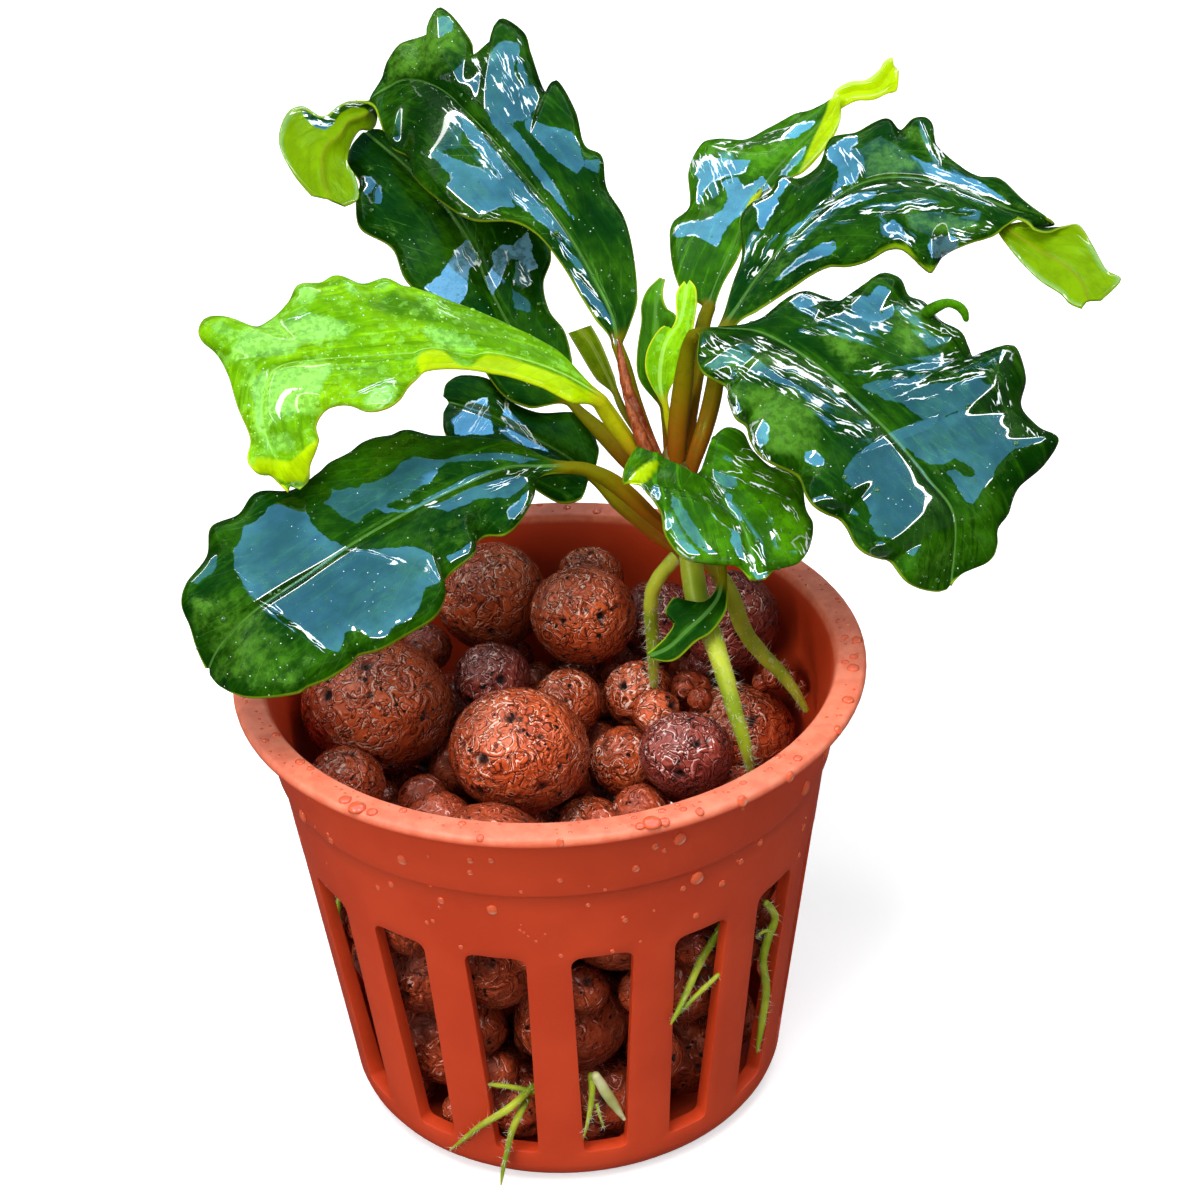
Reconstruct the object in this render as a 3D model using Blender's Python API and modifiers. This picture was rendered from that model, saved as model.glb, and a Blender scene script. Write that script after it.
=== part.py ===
"""Bucephalandra in a slotted net pot filled with fired clay pebbles.

Metres, +Z up. The origin is the centre of the pot's underside, on the surface that the pot
stands on, and the plant's best side faces -Y. The plant, the pebbles and the roots are read in
one picture frame of 1200 x 1200 points: a place is (across, down, near), where near is how many
millimetres it lies in front of the upright plane through the middle of the pot.
"""

import math

import bmesh
import bpy
from mathutils import Matrix, Vector

MM = 0.001

# Net pot, as turned: radii and heights of the outside.
RIM_RADIUS = 25.0 * MM
POT_HEIGHT = 39.5 * MM
LIP_THICKNESS = 0.9 * MM
LIP_ROUND = 0.3 * MM
LIP_INNER_RADIUS = 22.65 * MM
COLLAR_TOP_RADIUS = 23.1 * MM
STEP_HEIGHT = 32.4 * MM
STEP_RADIUS = 22.3 * MM
STEP_DEPTH = 0.3 * MM
BASE_RADIUS = 17.7 * MM
BASE_ROUND = 3.0 * MM
WALL = 0.9 * MM
FLOOR = 1.3 * MM
CORNER_HEIGHT = 1.0 * MM
POT_SIDES = 32

# Slots in the wall, and the drain slots in the floor.
SLOTS = 16
SLOT_PHASE = math.radians(9.0)
SLOT_TOP = 25.6 * MM
SLOT_BOTTOM = 3.9 * MM
SLOT_WIDTH_TOP = 4.8 * MM
SLOT_WIDTH_BOTTOM = 3.5 * MM
SLOT_CORNER = 0.9 * MM
DRAINS = 8
DRAIN_INNER = 5.0 * MM
DRAIN_OUTER = 13.0 * MM
DRAIN_WIDTH = 2.2 * MM

# The picture frame that places are read in.
FRAME_MIDDLE = 600.0
FRAME_FOCAL = 2960.0
VIEW_DISTANCE = 231.5 * MM
VIEW_ELEVATION = math.radians(31.05)
VIEW_ROLL = math.radians(-2.36)
VIEW_TARGET = Vector((4.19, 0.0, 44.39)) * MM

# Clay pebbles: (across, down, near, width, thickness), the last three in mm. The width is
# the largest measure, and the thickness stands along the picture's upright.
GAP = 0.3 * MM
TOP_PEBBLE_FACES = (10, 7)
SLOT_PEBBLE_FACES = (9, 6)
HIDDEN_PEBBLE_FACES = (8, 5)
TOP_PEBBLES = [
    (375, 708, -8.6, 12.2, 11.0),
    (511, 760, -4.1, 11.4, 10.2),
    (486, 588, -19.2, 9.4, 9.2),
    (586, 624, -13.4, 9.0, 8.4),
    (592, 572, -20.5, 5.8, 5.4),
    (491, 680, -10.8, 6.4, 6.0),
    (565, 704, -11.2, 5.8, 5.6),
    (641, 697, -13.4, 6.0, 5.6),
    (657, 714, -7.6, 4.0, 3.8),
    (624, 762, -9.6, 5.8, 6.0),
    (694, 775, -3.6, 7.6, 6.8),
    (741, 725, -10.5, 9.4, 8.2),
    (750, 622, -13.0, 8.4, 8.4),
    (668, 612, -18.5, 7.2, 6.8),
    (716, 664, -16.5, 5.2, 5.0),
    (588, 826, -8.5, 6.2, 5.8),
    (364, 806, -2.9, 6.4, 5.8),
]
SLOT_PEBBLES = [
    (383, 968, -11.9, 7.8, 7.4),
    (414, 950, -4.3, 7.4, 7.0),
    (432, 1044, -9.5, 8.6, 8.2),
    (500, 966, -0.8, 7.8, 7.2),
    (565, 1018, -3.8, 9.6, 9.0),
    (686, 964, -5.1, 7.8, 7.4),
    (682, 1062, -10.9, 7.4, 7.0),
    (515, 1108, -8.4, 6.8, 6.4),
    (610, 1106, -8.4, 7.0, 6.6),
]

# Pebbles out of the picture, behind and below the ones that show and along the front wall:
# (bearing from -Y towards +X, reach from the axis, height), and their width and thickness.
HIDDEN_PEBBLES = [
    (110, 12.0, 7.0),
    (178, 12.0, 7.0),
    (246, 12.0, 7.0),
    (98, 12.6, 17.5),
    (172, 12.6, 17.5),
    (244, 12.6, 17.5),
    (143, 12.6, 28.0),
    (213, 12.6, 28.0),
    (176, 6.0, 25.5),
    (0, 2.0, 14.0),
    (-62, 14.5, 28.0),
    (-20, 14.5, 28.0),
    (20, 14.5, 28.0),
    (61, 14.5, 28.0),
]
HIDDEN_SIZE = (10.6, 9.8)
SETTLE_ROUNDS = 400
SETTLE_STEP = 0.01 * MM
SHARE_SIDEWAYS = 0.25
FLAT_SIDE = math.cos(math.pi / POT_SIDES)
SLOPED_SIDE = 1.01


# Crown: the short upright rhizome that the leaf stalks and the roots grow from. Its points are
# (across, down, near, radius in mm), as all round stems here.
RHIZOME = [(676, 470, 0.0, 1.3), (684, 515, 0.0, 1.4), (690, 552, 0.4, 1.2)]
STEM_RESOLUTION = 1
STEM_STATIONS = {3: 3, 4: 6, 5: 8, 6: 10}
SHEATHS = {
    "leaf_sheath_upper": [
        (663, 464, 0.0, 0.3), (648, 438, -0.2, 0.42), (633, 405, -0.5, 0.44),
        (623, 370, -1.0, 0.36), (618, 338, -1.3, 0.12),
    ],
    "leaf_sheath_lower": [
        (653, 473, 1.1, 0.36), (646, 450, 1.2, 0.45), (636, 425, 1.1, 0.42),
        (625, 400, 0.8, 0.2),
    ],
}
ROOTS = {
    "root_front": [
        (691, 572, 0.8, 0.95), (697, 600, 1.8, 0.9), (712, 637, 3.6, 0.82),
        (724, 674, 5.0, 0.72), (735, 712, 5.4, 0.62), (746, 748, 4.8, 0.5), (751, 768, 3.2, 0.35),
    ],
    "root_inner": [
        (673, 566, -0.9, 0.6), (656, 582, -1.8, 0.6), (651, 605, -3.0, 0.58),
        (652, 631, -4.6, 0.55), (653, 656, -6.0, 0.5), (654, 680, -8.4, 0.4),
    ],
    "root_right": [
        (708, 562, -1.2, 0.6), (730, 592, -2.6, 0.66), (743, 628, -3.4, 0.66),
        (761, 653, -4.0, 0.62), (779, 671, -4.4, 0.55), (794, 690, -4.9, 0.45),
        (806, 710, -5.8, 0.3),
    ],
}

# Leaves. A leaf is a round stalk that opens into a blade. The stalk and the midrib are
# (across, down, near), the stalk with a radius in mm, and the margins are (across, down), or
# (across, down, how much nearer than the blade's own lie). Left and right are as seen from
# above with the tip ahead. lean is how the blade lies beside its midrib: how much nearer it
# gets for each mm towards the picture's right, and for each mm up. A curl is the stretch past
# a fold, where the blade turns its underside to view, as rows of (left, middle, right).
BLADE_STATIONS = 13
SMALL_BLADE_STATIONS = 9
SMALL_BLADES = ("leaf_torn", "leaf_cut_short", "leaf_new_dark", "leaf_new_light")
BLADE_THICKNESS = 0.45 * MM
LEAVES = {
    "leaf_upper_left": {
        "stalk": [
            (659, 461, -1.2, 0.45), (648, 435, -1.6, 0.45), (635, 400, -2.0, 0.5),
            (625, 366, -2.4, 0.5),
        ],
        "midrib": [
            (617, 345, -2.6), (610, 312, -3.2), (569, 236, -5.6), (521, 172, -8.8),
            (473, 118, -13.0), (441, 89, -16.5), (408, 80, -19.3), (386, 90, -20.5),
        ],
        "left": [
            (613, 351), (600, 328), (581, 297), (562, 265), (537, 234), (508, 220), (473, 220),
            (441, 201), (415, 179), (406, 156), (393, 149), (384, 130, 0.8),
        ],
        "right": [
            (629, 357), (637, 319), (636, 271), (626, 220), (607, 185), (602, 156), (584, 140),
            (575, 108), (557, 80), (543, 84), (530, 51), (524, 32), (503, 21), (492, 35),
            (466, 46), (460, 25), (444, 11), (431, 19), (425, 30), (400, 43), (388, 60),
            (383, 78, -0.4),
        ],
        "curl": [
            ((376, 108, -18.8), (372, 99, -20.4), (378, 96, -21.8)),
            ((364, 102, -18.8), (370, 108, -20.0), (376, 122, -21.4)),
            ((346, 107, -18.4), (362, 116, -19.3), (370, 130, -20.4)),
            ((334, 117, -17.8), (347, 122, -18.3), (359, 131, -19.4)),
            ((320, 131, -17.0), (338, 136, -17.3), (350, 146, -18.4)),
            ((300, 112, -16.8), (326, 146, -16.6), (347, 163, -17.4)),
            ((288, 118, -16.4), (322, 158, -16.2), (354, 176, -16.8)),
            ((279, 143, -16.0), (322, 172, -15.8), (358, 188, -16.4)),
            ((293, 174, -15.6), (325, 187, -15.6), (358, 200, -16.0)),
            ((311, 196, -15.4), (329, 200, -15.4), (345, 207, -15.6)),
        ],
        "lean": (0.1, -0.56),
    },
    "leaf_behind_upper_left": {
        "stalk": [
            (655, 484, -1.3, 0.45), (630, 463, -2.6, 0.5), (604, 435, -4.2, 0.5),
            (580, 412, -5.8, 0.45),
        ],
        "midrib": [
            (572, 403, -6.3), (545, 375, -8.0), (515, 335, -10.0), (489, 287, -12.5),
            (471, 245, -15.0), (440, 200, -18.0), (405, 168, -20.2), (366, 150, -21.6),
        ],
        "left": [
            (570, 411), (540, 411), (508, 399), (488, 376), (468, 340), (440, 310), (406, 281),
            (390, 245), (361, 230), (355, 204), (358, 179), (350, 158),
        ],
        "right": [
            (580, 398), (573, 363), (565, 332), (549, 309), (543, 281), (551, 255), (540, 225),
            (505, 195), (470, 175), (430, 160), (395, 148), (372, 146),
        ],
        "lean": (0.2, -0.5),
    },
    "leaf_cut_short": {
        "stalk": [
            (650, 460, -2.5, 0.25), (637, 434, -2.6, 0.25), (623, 410, -2.5, 0.3),
        ],
        "midrib": [(616, 394, -2.4), (606, 372, -2.3), (592, 345, -2.0), (580, 329, -1.8)],
        "left": [(611, 396), (595, 378), (578, 350), (568, 333)],
        "right": [(621, 397), (615, 378), (602, 345), (591, 325)],
        "lean": (0.2, -0.3),
    },
    "leaf_young_left": {
        "stalk": [
            (643, 464, 0.0, 0.42), (627, 440, 0.4, 0.5), (611, 418, 1.0, 0.6),
        ],
        "midrib": [
            (600, 405, 1.4), (570, 383, 2.2), (530, 366, 3.2), (470, 356, 4.6), (419, 354, 5.6),
            (370, 357, 6.2), (320, 360, 6.8), (275, 370, 7.2), (262, 410, 8.0), (272, 450, 8.4),
            (290, 484, 8.4),
        ],
        "left": [
            (600, 424), (584, 416), (553, 398), (521, 385), (489, 378), (454, 373), (422, 374),
            (409, 384), (400, 400), (387, 409), (368, 411), (349, 405), (326, 409), (315, 425),
            (320, 444), (312, 464), (309, 480), (300, 490),
        ],
        "right": [
            (606, 392), (594, 384), (565, 355), (530, 333), (489, 314), (451, 299), (419, 287),
            (400, 282), (384, 276), (361, 279), (336, 274), (320, 280), (298, 285), (288, 298),
            (272, 312), (253, 322), (234, 322), (218, 318), (205, 322), (199, 333), (202, 342),
            (215, 352), (227, 374), (237, 406), (250, 438), (247, 460), (254, 473), (269, 475),
            (282, 487), (288, 493),
        ],
        "lean": (0.05, -0.55),
    },
    "leaf_dark_behind": {
        "stalk": [
            (660, 538, -1.6, 0.4), (640, 521, -2.0, 0.42), (618, 503, -2.6, 0.42),
            (602, 487, -3.4, 0.4),
        ],
        "midrib": [
            (592, 477, -3.9), (566, 457, -5.2), (530, 436, -7.0), (490, 415, -9.0),
            (450, 402, -10.5),
        ],
        "left": [
            (596, 486), (584, 497), (562, 503), (537, 490), (505, 468), (468, 452), (446, 436),
            (443, 415),
        ],
        "right": [
            (602, 470), (598, 445), (581, 414), (537, 411), (508, 399), (489, 379), (463, 375),
            (447, 383), (443, 396),
        ],
        "lean": (0.1, -0.6),
    },
    "leaf_lower_left": {
        "stalk": [
            (656, 520, 0.8, 0.5), (631, 497, 0.9, 0.55), (611, 481, 1.2, 0.55),
            (588, 470, 1.6, 0.55),
        ],
        "midrib": [
            (572, 467, 2.0), (541, 467, 2.8), (508, 468, 3.8), (476, 480, 5.0), (435, 499, 6.6),
            (393, 521, 8.2), (349, 547, 9.6), (304, 578, 10.8), (253, 613, 11.6),
            (222, 645, 11.6), (210, 668, 11.2),
        ],
        "left": [
            (572, 475), (540, 477), (533, 499), (521, 521), (505, 537), (489, 531), (479, 537),
            (473, 556), (447, 575), (446, 594), (435, 617), (406, 633), (380, 649), (358, 652),
            (349, 664), (329, 677), (307, 684), (298, 692), (275, 696), (246, 698), (221, 687),
            (212, 677),
        ],
        "right": [
            (574, 459), (546, 454), (508, 441), (467, 436), (431, 433), (406, 429), (390, 433),
            (374, 436), (361, 441), (349, 449), (329, 460), (317, 470), (291, 486), (256, 492),
            (237, 511), (211, 527), (205, 553), (186, 582), (181, 604), (189, 626), (195, 645),
            (205, 668),
        ],
        "lean": (0.0, -0.6),
    },
    "leaf_upper_back": {
        "stalk": [
            (685, 464, -0.8, 0.42), (690, 410, -1.8, 0.45), (698, 360, -3.2, 0.5),
            (703, 325, -4.4, 0.5),
        ],
        "midrib": [
            (708, 308, -4.9), (720, 276, -6.3), (736, 240, -8.4), (752, 205, -10.4),
            (775, 172, -12.6), (800, 145, -14.6), (826, 118, -16.3), (838, 98, -17.3),
        ],
        "left": [
            (698, 320), (684, 298), (673, 270), (669, 240), (672, 222), (688, 202), (688, 170),
            (697, 148), (710, 139), (742, 138), (768, 127), (793, 115), (812, 110), (832, 100),
        ],
        "right": [
            (710, 320), (722, 285), (741, 250), (741, 215), (750, 204), (771, 189), (790, 178),
            (803, 173), (820, 155), (834, 135), (840, 120), (838, 111),
        ],
        "curl": [
            ((836, 90, -17.5), (843, 95, -17.5), (844, 107, -17.4)),
            ((850, 82, -17.7), (855, 91, -17.6), (857, 101, -17.5)),
            ((866, 80, -17.7), (869, 90, -17.6), (873, 100, -17.5)),
            ((879, 70, -17.7), (881, 85, -17.5), (887, 94, -17.3)),
            ((886, 60, -17.6), (889, 73, -17.4), (897, 90, -17.2)),
            ((893, 57, -17.5), (894, 66, -17.4), (899, 71, -17.2)),
        ],
        "lean": (0.35, -0.6),
    },
    "leaf_upper_right": {
        "stalk": [
            (696, 460, 0.6, 0.42), (704, 430, 0.4, 0.5), (713, 395, -0.3, 0.55),
            (719, 355, -1.6, 0.5),
        ],
        "midrib": [
            (722, 332, -2.4), (752, 285, -4.4), (783, 247, -6.2), (819, 212, -7.8),
            (857, 186, -8.8), (895, 178, -9.2), (940, 183, -9.2), (984, 199, -8.8),
            (1010, 210, -8.5), (1034, 216, -8.4),
        ],
        "left": [
            (714, 336), (732, 285), (742, 253), (740, 221), (750, 204), (771, 189), (780, 177),
            (799, 175), (819, 161), (831, 138), (857, 129), (876, 121), (889, 119), (901, 126),
            (914, 119), (929, 122), (936, 142), (959, 164), (978, 175), (1000, 180), (1023, 199),
            (1048, 219, -0.4),
        ],
        "right": [
            (730, 335), (745, 320), (768, 304), (793, 288), (812, 274), (831, 264), (847, 266),
            (870, 260), (889, 247), (905, 247), (921, 263), (930, 275), (946, 253), (965, 244),
            (988, 237), (1002, 227, 0.6), (1016, 219, 0.8),
        ],
        "curl": [
            ((1053, 224, -9.4), (1046, 223, -8.8), (1026, 222, -7.2)),
            ((1025, 228, -9.8), (1022, 225, -8.8), (1036, 230, -7.0)),
            ((1001, 232, -9.4), (1010, 229, -8.6), (1050, 232, -7.2)),
            ((1007, 244, -8.6), (1026, 242, -8.2), (1063, 227, -7.8)),
            ((1022, 263, -7.8), (1045, 255, -7.6), (1078, 225, -8.2)),
            ((1040, 281, -7.0), (1062, 265, -7.2), (1092, 246, -8.2)),
            ((1060, 294, -6.4), (1077, 279, -6.8), (1106, 270, -7.8)),
            ((1070, 304, -6.0), (1084, 291, -6.5), (1121, 280, -7.2)),
            ((1082, 309, -5.9), (1087, 302, -6.2), (1101, 301, -6.6)),
        ],
        "lean": (0.2, -0.6),
    },
    "leaf_right": {
        "stalk": [
            (676, 462, 0.5, 0.5), (678, 425, 0.7, 0.6), (682, 385, 1.0, 0.6), (687, 350, 1.9, 0.5),
        ],
        "midrib": [
            (694, 334, 2.9), (713, 330, 3.6), (752, 331, 4.2), (783, 344, 5.0), (819, 368, 6.2),
            (857, 403, 7.6), (892, 435, 8.8), (927, 473, 9.8), (944, 520, 10.6), (949, 580, 11.0),
        ],
        "left": [
            (694, 324), (707, 326), (720, 331), (736, 328), (761, 323), (780, 311), (790, 298),
            (806, 291), (825, 293), (844, 295), (863, 285), (874, 279), (885, 274), (901, 279),
            (911, 291), (927, 299), (944, 316), (963, 328), (972, 340), (981, 350), (1000, 347),
            (1016, 348), (1028, 375), (1027, 399), (1043, 423), (1058, 440), (1046, 463),
            (1022, 485), (1011, 512), (1000, 528), (997, 546), (989, 561), (963, 573),
            (951, 586),
        ],
        "right": [
            (684, 322), (681, 334), (695, 356), (704, 378), (726, 380), (728, 396), (735, 418),
            (747, 420), (751, 439), (759, 455), (775, 463), (794, 467), (802, 474), (806, 493),
            (813, 506), (826, 512), (842, 514), (850, 525), (856, 544), (866, 554), (882, 558),
            (894, 561), (901, 579), (917, 588), (936, 592), (946, 590),
        ],
        "lean": (-0.3, -0.55),
    },
    "leaf_new_dark": {
        "stalk": [(667, 459, -2.4, 0.25), (666, 440, -2.4, 0.25), (665, 422, -2.4, 0.28)],
        "midrib": [(663, 408, -2.4), (654, 375, -2.4), (656, 335, -2.6), (656, 305, -2.8),
            (662, 282, -2.9)],
        "left": [(659, 411), (644, 395), (637, 372), (637, 350), (641, 322), (641, 305),
            (647, 290), (660, 277)],
        "right": [(667, 411), (672, 385), (676, 350), (677, 318), (667, 308), (663, 295),
            (665, 279)],
        "lean": (0.3, -0.2),
    },
    "leaf_new_light": {
        "stalk": [(674, 459, -1.45, 0.25), (671, 440, -1.4, 0.25), (668, 422, -1.2, 0.28)],
        "midrib": [(666, 408, -1.0), (660, 380, -0.8), (665, 345, -0.8), (681, 320, -1.0),
            (687, 285, -1.2)],
        "left": [(662, 411), (650, 390), (645, 368), (647, 350), (656, 333), (664, 326),
            (670, 330), (676, 318), (676, 294), (684, 281)],
        "right": [(669, 411), (674, 390), (681, 366), (690, 350), (694, 324), (697, 303),
            (696, 288), (690, 280)],
        "lean": (0.2, -0.1),
    },
    "leaf_front": {
        "stalk": [(689, 482, 2.2, 0.35), (690, 478, 3.0, 0.35)],
        "midrib": [
            (692, 476, 3.8), (700, 480, 4.8), (713, 487, 6.0), (728, 510, 7.6), (744, 531, 9.0),
            (757, 580, 10.0),
        ],
        "left": [
            (693, 469), (702, 464), (709, 450), (715, 435), (728, 427), (743, 432), (753, 448),
            (772, 464), (791, 464), (802, 476), (807, 505), (814, 524), (810, 547), (798, 563),
            (779, 566), (766, 579),
        ],
        "right": [
            (685, 478), (672, 474), (657, 461), (644, 455, -0.6), (636, 447, -1.2),
            (625, 464, -1.0), (624, 483, -0.4), (640, 484), (648, 490), (661, 510), (665, 534),
            (682, 557), (702, 563), (723, 560), (738, 567), (749, 579),
        ],
        "lean": (-0.15, -0.5),
    },
    "leaf_torn": {
        "stalk": [(700, 520, 2.0, 0.3), (712, 543, 3.2, 0.3), (721, 562, 4.0, 0.35)],
        "midrib": [
            (723, 575, 4.3), (719, 596, 4.8), (706, 614, 5.3), (688, 630, 5.6), (668, 648, 5.8),
            (650, 656, 5.8),
        ],
        "left": [
            (731, 574), (731, 592), (725, 614), (711, 633), (696, 642), (679, 658), (668, 662),
            (655, 660),
        ],
        "right": [
            (717, 572), (711, 594), (700, 603), (684, 600), (673, 598), (665, 612), (674, 622),
            (667, 635), (655, 647), (647, 653),
        ],
        "lean": (0.2, -0.2),
    },
}


def clear_scene():
    for item in list(bpy.data.objects):
        bpy.data.objects.remove(item, do_unlink=True)


def collection(name):
    made = bpy.data.collections.new(name)
    bpy.context.scene.collection.children.link(made)
    return made


def finish(name, colour, roughness, metallic=0.0, coat=0.0):
    made = bpy.data.materials.new(name)
    made.use_nodes = True
    shader = made.node_tree.nodes["Principled BSDF"]
    shader.inputs["Base Color"].default_value = (*colour, 1.0)
    shader.inputs["Roughness"].default_value = roughness
    shader.inputs["Metallic"].default_value = metallic
    shader.inputs["Coat Weight"].default_value = coat
    made.diffuse_color = (*colour, 1.0)
    return made


def place(name, data, group, material):
    item = bpy.data.objects.new(name, data)
    data.materials.append(material)
    group.objects.link(item)
    return item


def mesh_from(form, name):
    data = bpy.data.meshes.new(name)
    form.to_mesh(data)
    form.free()
    return data


def view_axes():
    """Right, up and towards the viewer, for the picture frame."""
    towards = Vector((0.0, -math.cos(VIEW_ELEVATION), math.sin(VIEW_ELEVATION)))
    level = Vector((1.0, 0.0, 0.0))
    upright = towards.cross(level)
    right = level * math.cos(VIEW_ROLL) + upright * math.sin(VIEW_ROLL)
    up = upright * math.cos(VIEW_ROLL) - level * math.sin(VIEW_ROLL)
    return right, up, towards


RIGHT, UP, TOWARDS = view_axes()


def seen(across, down, near):
    """The point that shows at (across, down) and lies near millimetres before the middle plane."""
    scale = (VIEW_DISTANCE - near * MM) / FRAME_FOCAL
    return (
        VIEW_TARGET
        + RIGHT * (across - FRAME_MIDDLE) * scale
        + UP * (FRAME_MIDDLE - down) * scale
        + TOWARDS * near * MM
    )


def wall_radius(height):
    """Outer radius of the tapered wall below the collar."""
    return BASE_RADIUS + (STEP_RADIUS - STEP_DEPTH - BASE_RADIUS) * height / STEP_HEIGHT


def inner_radius(height):
    """Inner radius of the same wall, between the floor's corner and the collar."""
    low = BASE_RADIUS - 0.1 * MM - WALL
    high = wall_radius(STEP_HEIGHT) - WALL
    foot = FLOOR + CORNER_HEIGHT
    return low + (high - low) * (height - foot) / (STEP_HEIGHT - foot)


def pebble_list():
    """Each pebble's middle, width, thickness, short axis and whether the picture shows it."""
    found = []
    for across, down, near, width, thickness in TOP_PEBBLES + SLOT_PEBBLES:
        found.append([seen(across, down, near), width * MM, thickness * MM, UP, True])
    for bearing, reach, height in HIDDEN_PEBBLES:
        turn = math.radians(bearing)
        middle = Vector((math.sin(turn) * reach, -math.cos(turn) * reach, height)) * MM
        width, thickness = (size * MM for size in HIDDEN_SIZE)
        found.append([middle, width, thickness, Vector((0.0, 0.0, 1.0)), False])
    return found


def pushed(push, shown):
    """A pebble that the picture shows moves mainly along the line of sight."""
    if not shown:
        return push
    along = TOWARDS * push.dot(TOWARDS)
    return along + (push - along) * SHARE_SIDEWAYS


def settle(pebbles):
    """Moves the pebbles apart until each lies clear of the others and inside the pot."""
    for _ in range(SETTLE_ROUNDS):
        for number, first in enumerate(pebbles):
            if not first[4]:
                first[0].z -= SETTLE_STEP
            for second in pebbles[number + 1 :]:
                between = second[0] - first[0]
                lack = (first[1] + second[1]) / 2 + GAP - between.length
                if lack > 0:
                    push = between.normalized() * (lack / 2)
                    first[0] -= pushed(push, first[4])
                    second[0] += pushed(push, second[4])
        for pebble in pebbles:
            middle, reach = pebble[0], pebble[1] / 2
            flat = math.hypot(middle.x, middle.y)
            room = inner_radius(middle.z) * FLAT_SIDE - (GAP + reach) * SLOPED_SIDE
            if flat > room:
                middle.x *= room / flat
                middle.y *= room / flat
            middle.z = max(middle.z, FLOOR + GAP + reach)


def pebble_mesh(name, width, thickness, short, sides, rings):
    form = bmesh.new()
    bmesh.ops.create_uvsphere(form, u_segments=sides, v_segments=rings, radius=0.5)
    turn = Vector((0.0, 0.0, 1.0)).rotation_difference(short).to_matrix().to_4x4()
    size = Matrix.Diagonal((width, width, thickness, 1.0))
    bmesh.ops.transform(form, matrix=turn @ size, verts=form.verts)
    data = mesh_from(form, name)
    data.shade_smooth()
    return data


def add_pebbles(group):
    clay = finish("fired clay", (0.30, 0.075, 0.035), 0.35, coat=0.4)
    pebbles = pebble_list()
    settle(pebbles)
    faces = [TOP_PEBBLE_FACES] * len(TOP_PEBBLES)
    faces += [SLOT_PEBBLE_FACES] * len(SLOT_PEBBLES) + [HIDDEN_PEBBLE_FACES] * len(HIDDEN_PEBBLES)
    for number, (middle, width, thickness, short, _) in enumerate(pebbles, start=1):
        name = f"clay_pebble_{number:02d}"
        data = pebble_mesh(name, width, thickness, short, *faces[number - 1])
        item = place(name, data, group, clay)
        item.location = middle


def pot_profile():
    """Half section of the pot, from the middle of its floor up the inside, over and down."""
    top_inside = LIP_INNER_RADIUS - 0.5 * MM
    corner_top = FLOOR + CORNER_HEIGHT
    points = [
        (0.0, FLOOR),
        (inner_radius(corner_top) - 0.8 * MM, FLOOR),
        (inner_radius(corner_top), corner_top),
        (inner_radius(STEP_HEIGHT), STEP_HEIGHT),
        (top_inside, POT_HEIGHT - 1.0 * MM),
        (LIP_INNER_RADIUS, POT_HEIGHT),
        (RIM_RADIUS - LIP_ROUND, POT_HEIGHT),
        (RIM_RADIUS, POT_HEIGHT - LIP_ROUND),
        (RIM_RADIUS, POT_HEIGHT - LIP_THICKNESS),
        (COLLAR_TOP_RADIUS, POT_HEIGHT - LIP_THICKNESS),
        (STEP_RADIUS, STEP_HEIGHT),
        (STEP_RADIUS - STEP_DEPTH, STEP_HEIGHT - 0.2 * MM),
        (wall_radius(BASE_ROUND), BASE_ROUND),
    ]
    corner = 3
    for step in range(1, corner + 1):
        turn = math.radians(90.0 * step / corner)
        across = wall_radius(BASE_ROUND) - BASE_ROUND * (1.0 - math.cos(turn))
        points.append((across, BASE_ROUND * (1.0 - math.sin(turn))))
    points.append((0.0, 0.0))
    return points


def slot_outline():
    """Half width and height of a slot's edge, from its lower corner round to the upper one."""
    low, high = SLOT_WIDTH_BOTTOM / 2, SLOT_WIDTH_TOP / 2
    points = [(low - SLOT_CORNER / 2, SLOT_BOTTOM), (low, SLOT_BOTTOM + SLOT_CORNER / 2)]
    corner = 3
    for step in range(corner + 1):
        turn = math.radians(90.0 * step / corner)
        half = high - SLOT_CORNER * (1.0 - math.cos(turn))
        points.append((half, SLOT_TOP - SLOT_CORNER * (1.0 - math.sin(turn))))
    return points


def add_prism(form, outline, inner, outer, bearing):
    """A closed prism over an outline of (sideways, height), from one radius to another."""
    turn = Matrix.Rotation(bearing, 4, "Z")
    rings = []
    for reach in (inner, outer):
        rings.append([form.verts.new(turn @ Vector((x, -reach, z))) for x, z in outline])
    count = len(outline)
    for step in range(count):
        after = (step + 1) % count
        form.faces.new((rings[0][step], rings[0][after], rings[1][after], rings[1][step]))
    form.faces.new(reversed(rings[0]))
    form.faces.new(rings[1])


def add_cutter(name, form, group):
    bmesh.ops.recalc_face_normals(form, faces=form.faces)
    item = bpy.data.objects.new(name, mesh_from(form, name))
    group.objects.link(item)
    item.hide_render = True
    item.display_type = "WIRE"
    return item


def slot_cutter(group):
    form = bmesh.new()
    half = slot_outline()
    outline = half + [(-x, z) for x, z in reversed(half)]
    for number in range(SLOTS):
        bearing = SLOT_PHASE + math.tau * number / SLOTS
        add_prism(form, outline, BASE_RADIUS - 3.0 * MM, RIM_RADIUS, bearing)
    return add_cutter("slot cutter", form, group)


def drain_cutter(group):
    form = bmesh.new()
    half = DRAIN_WIDTH / 2
    outline = [(half, -FLOOR), (half, 2 * FLOOR), (-half, 2 * FLOOR), (-half, -FLOOR)]
    for number in range(DRAINS):
        bearing = SLOT_PHASE + math.tau * number / DRAINS
        add_prism(form, outline, DRAIN_INNER, DRAIN_OUTER, bearing)
    return add_cutter("drain cutter", form, group)


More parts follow.
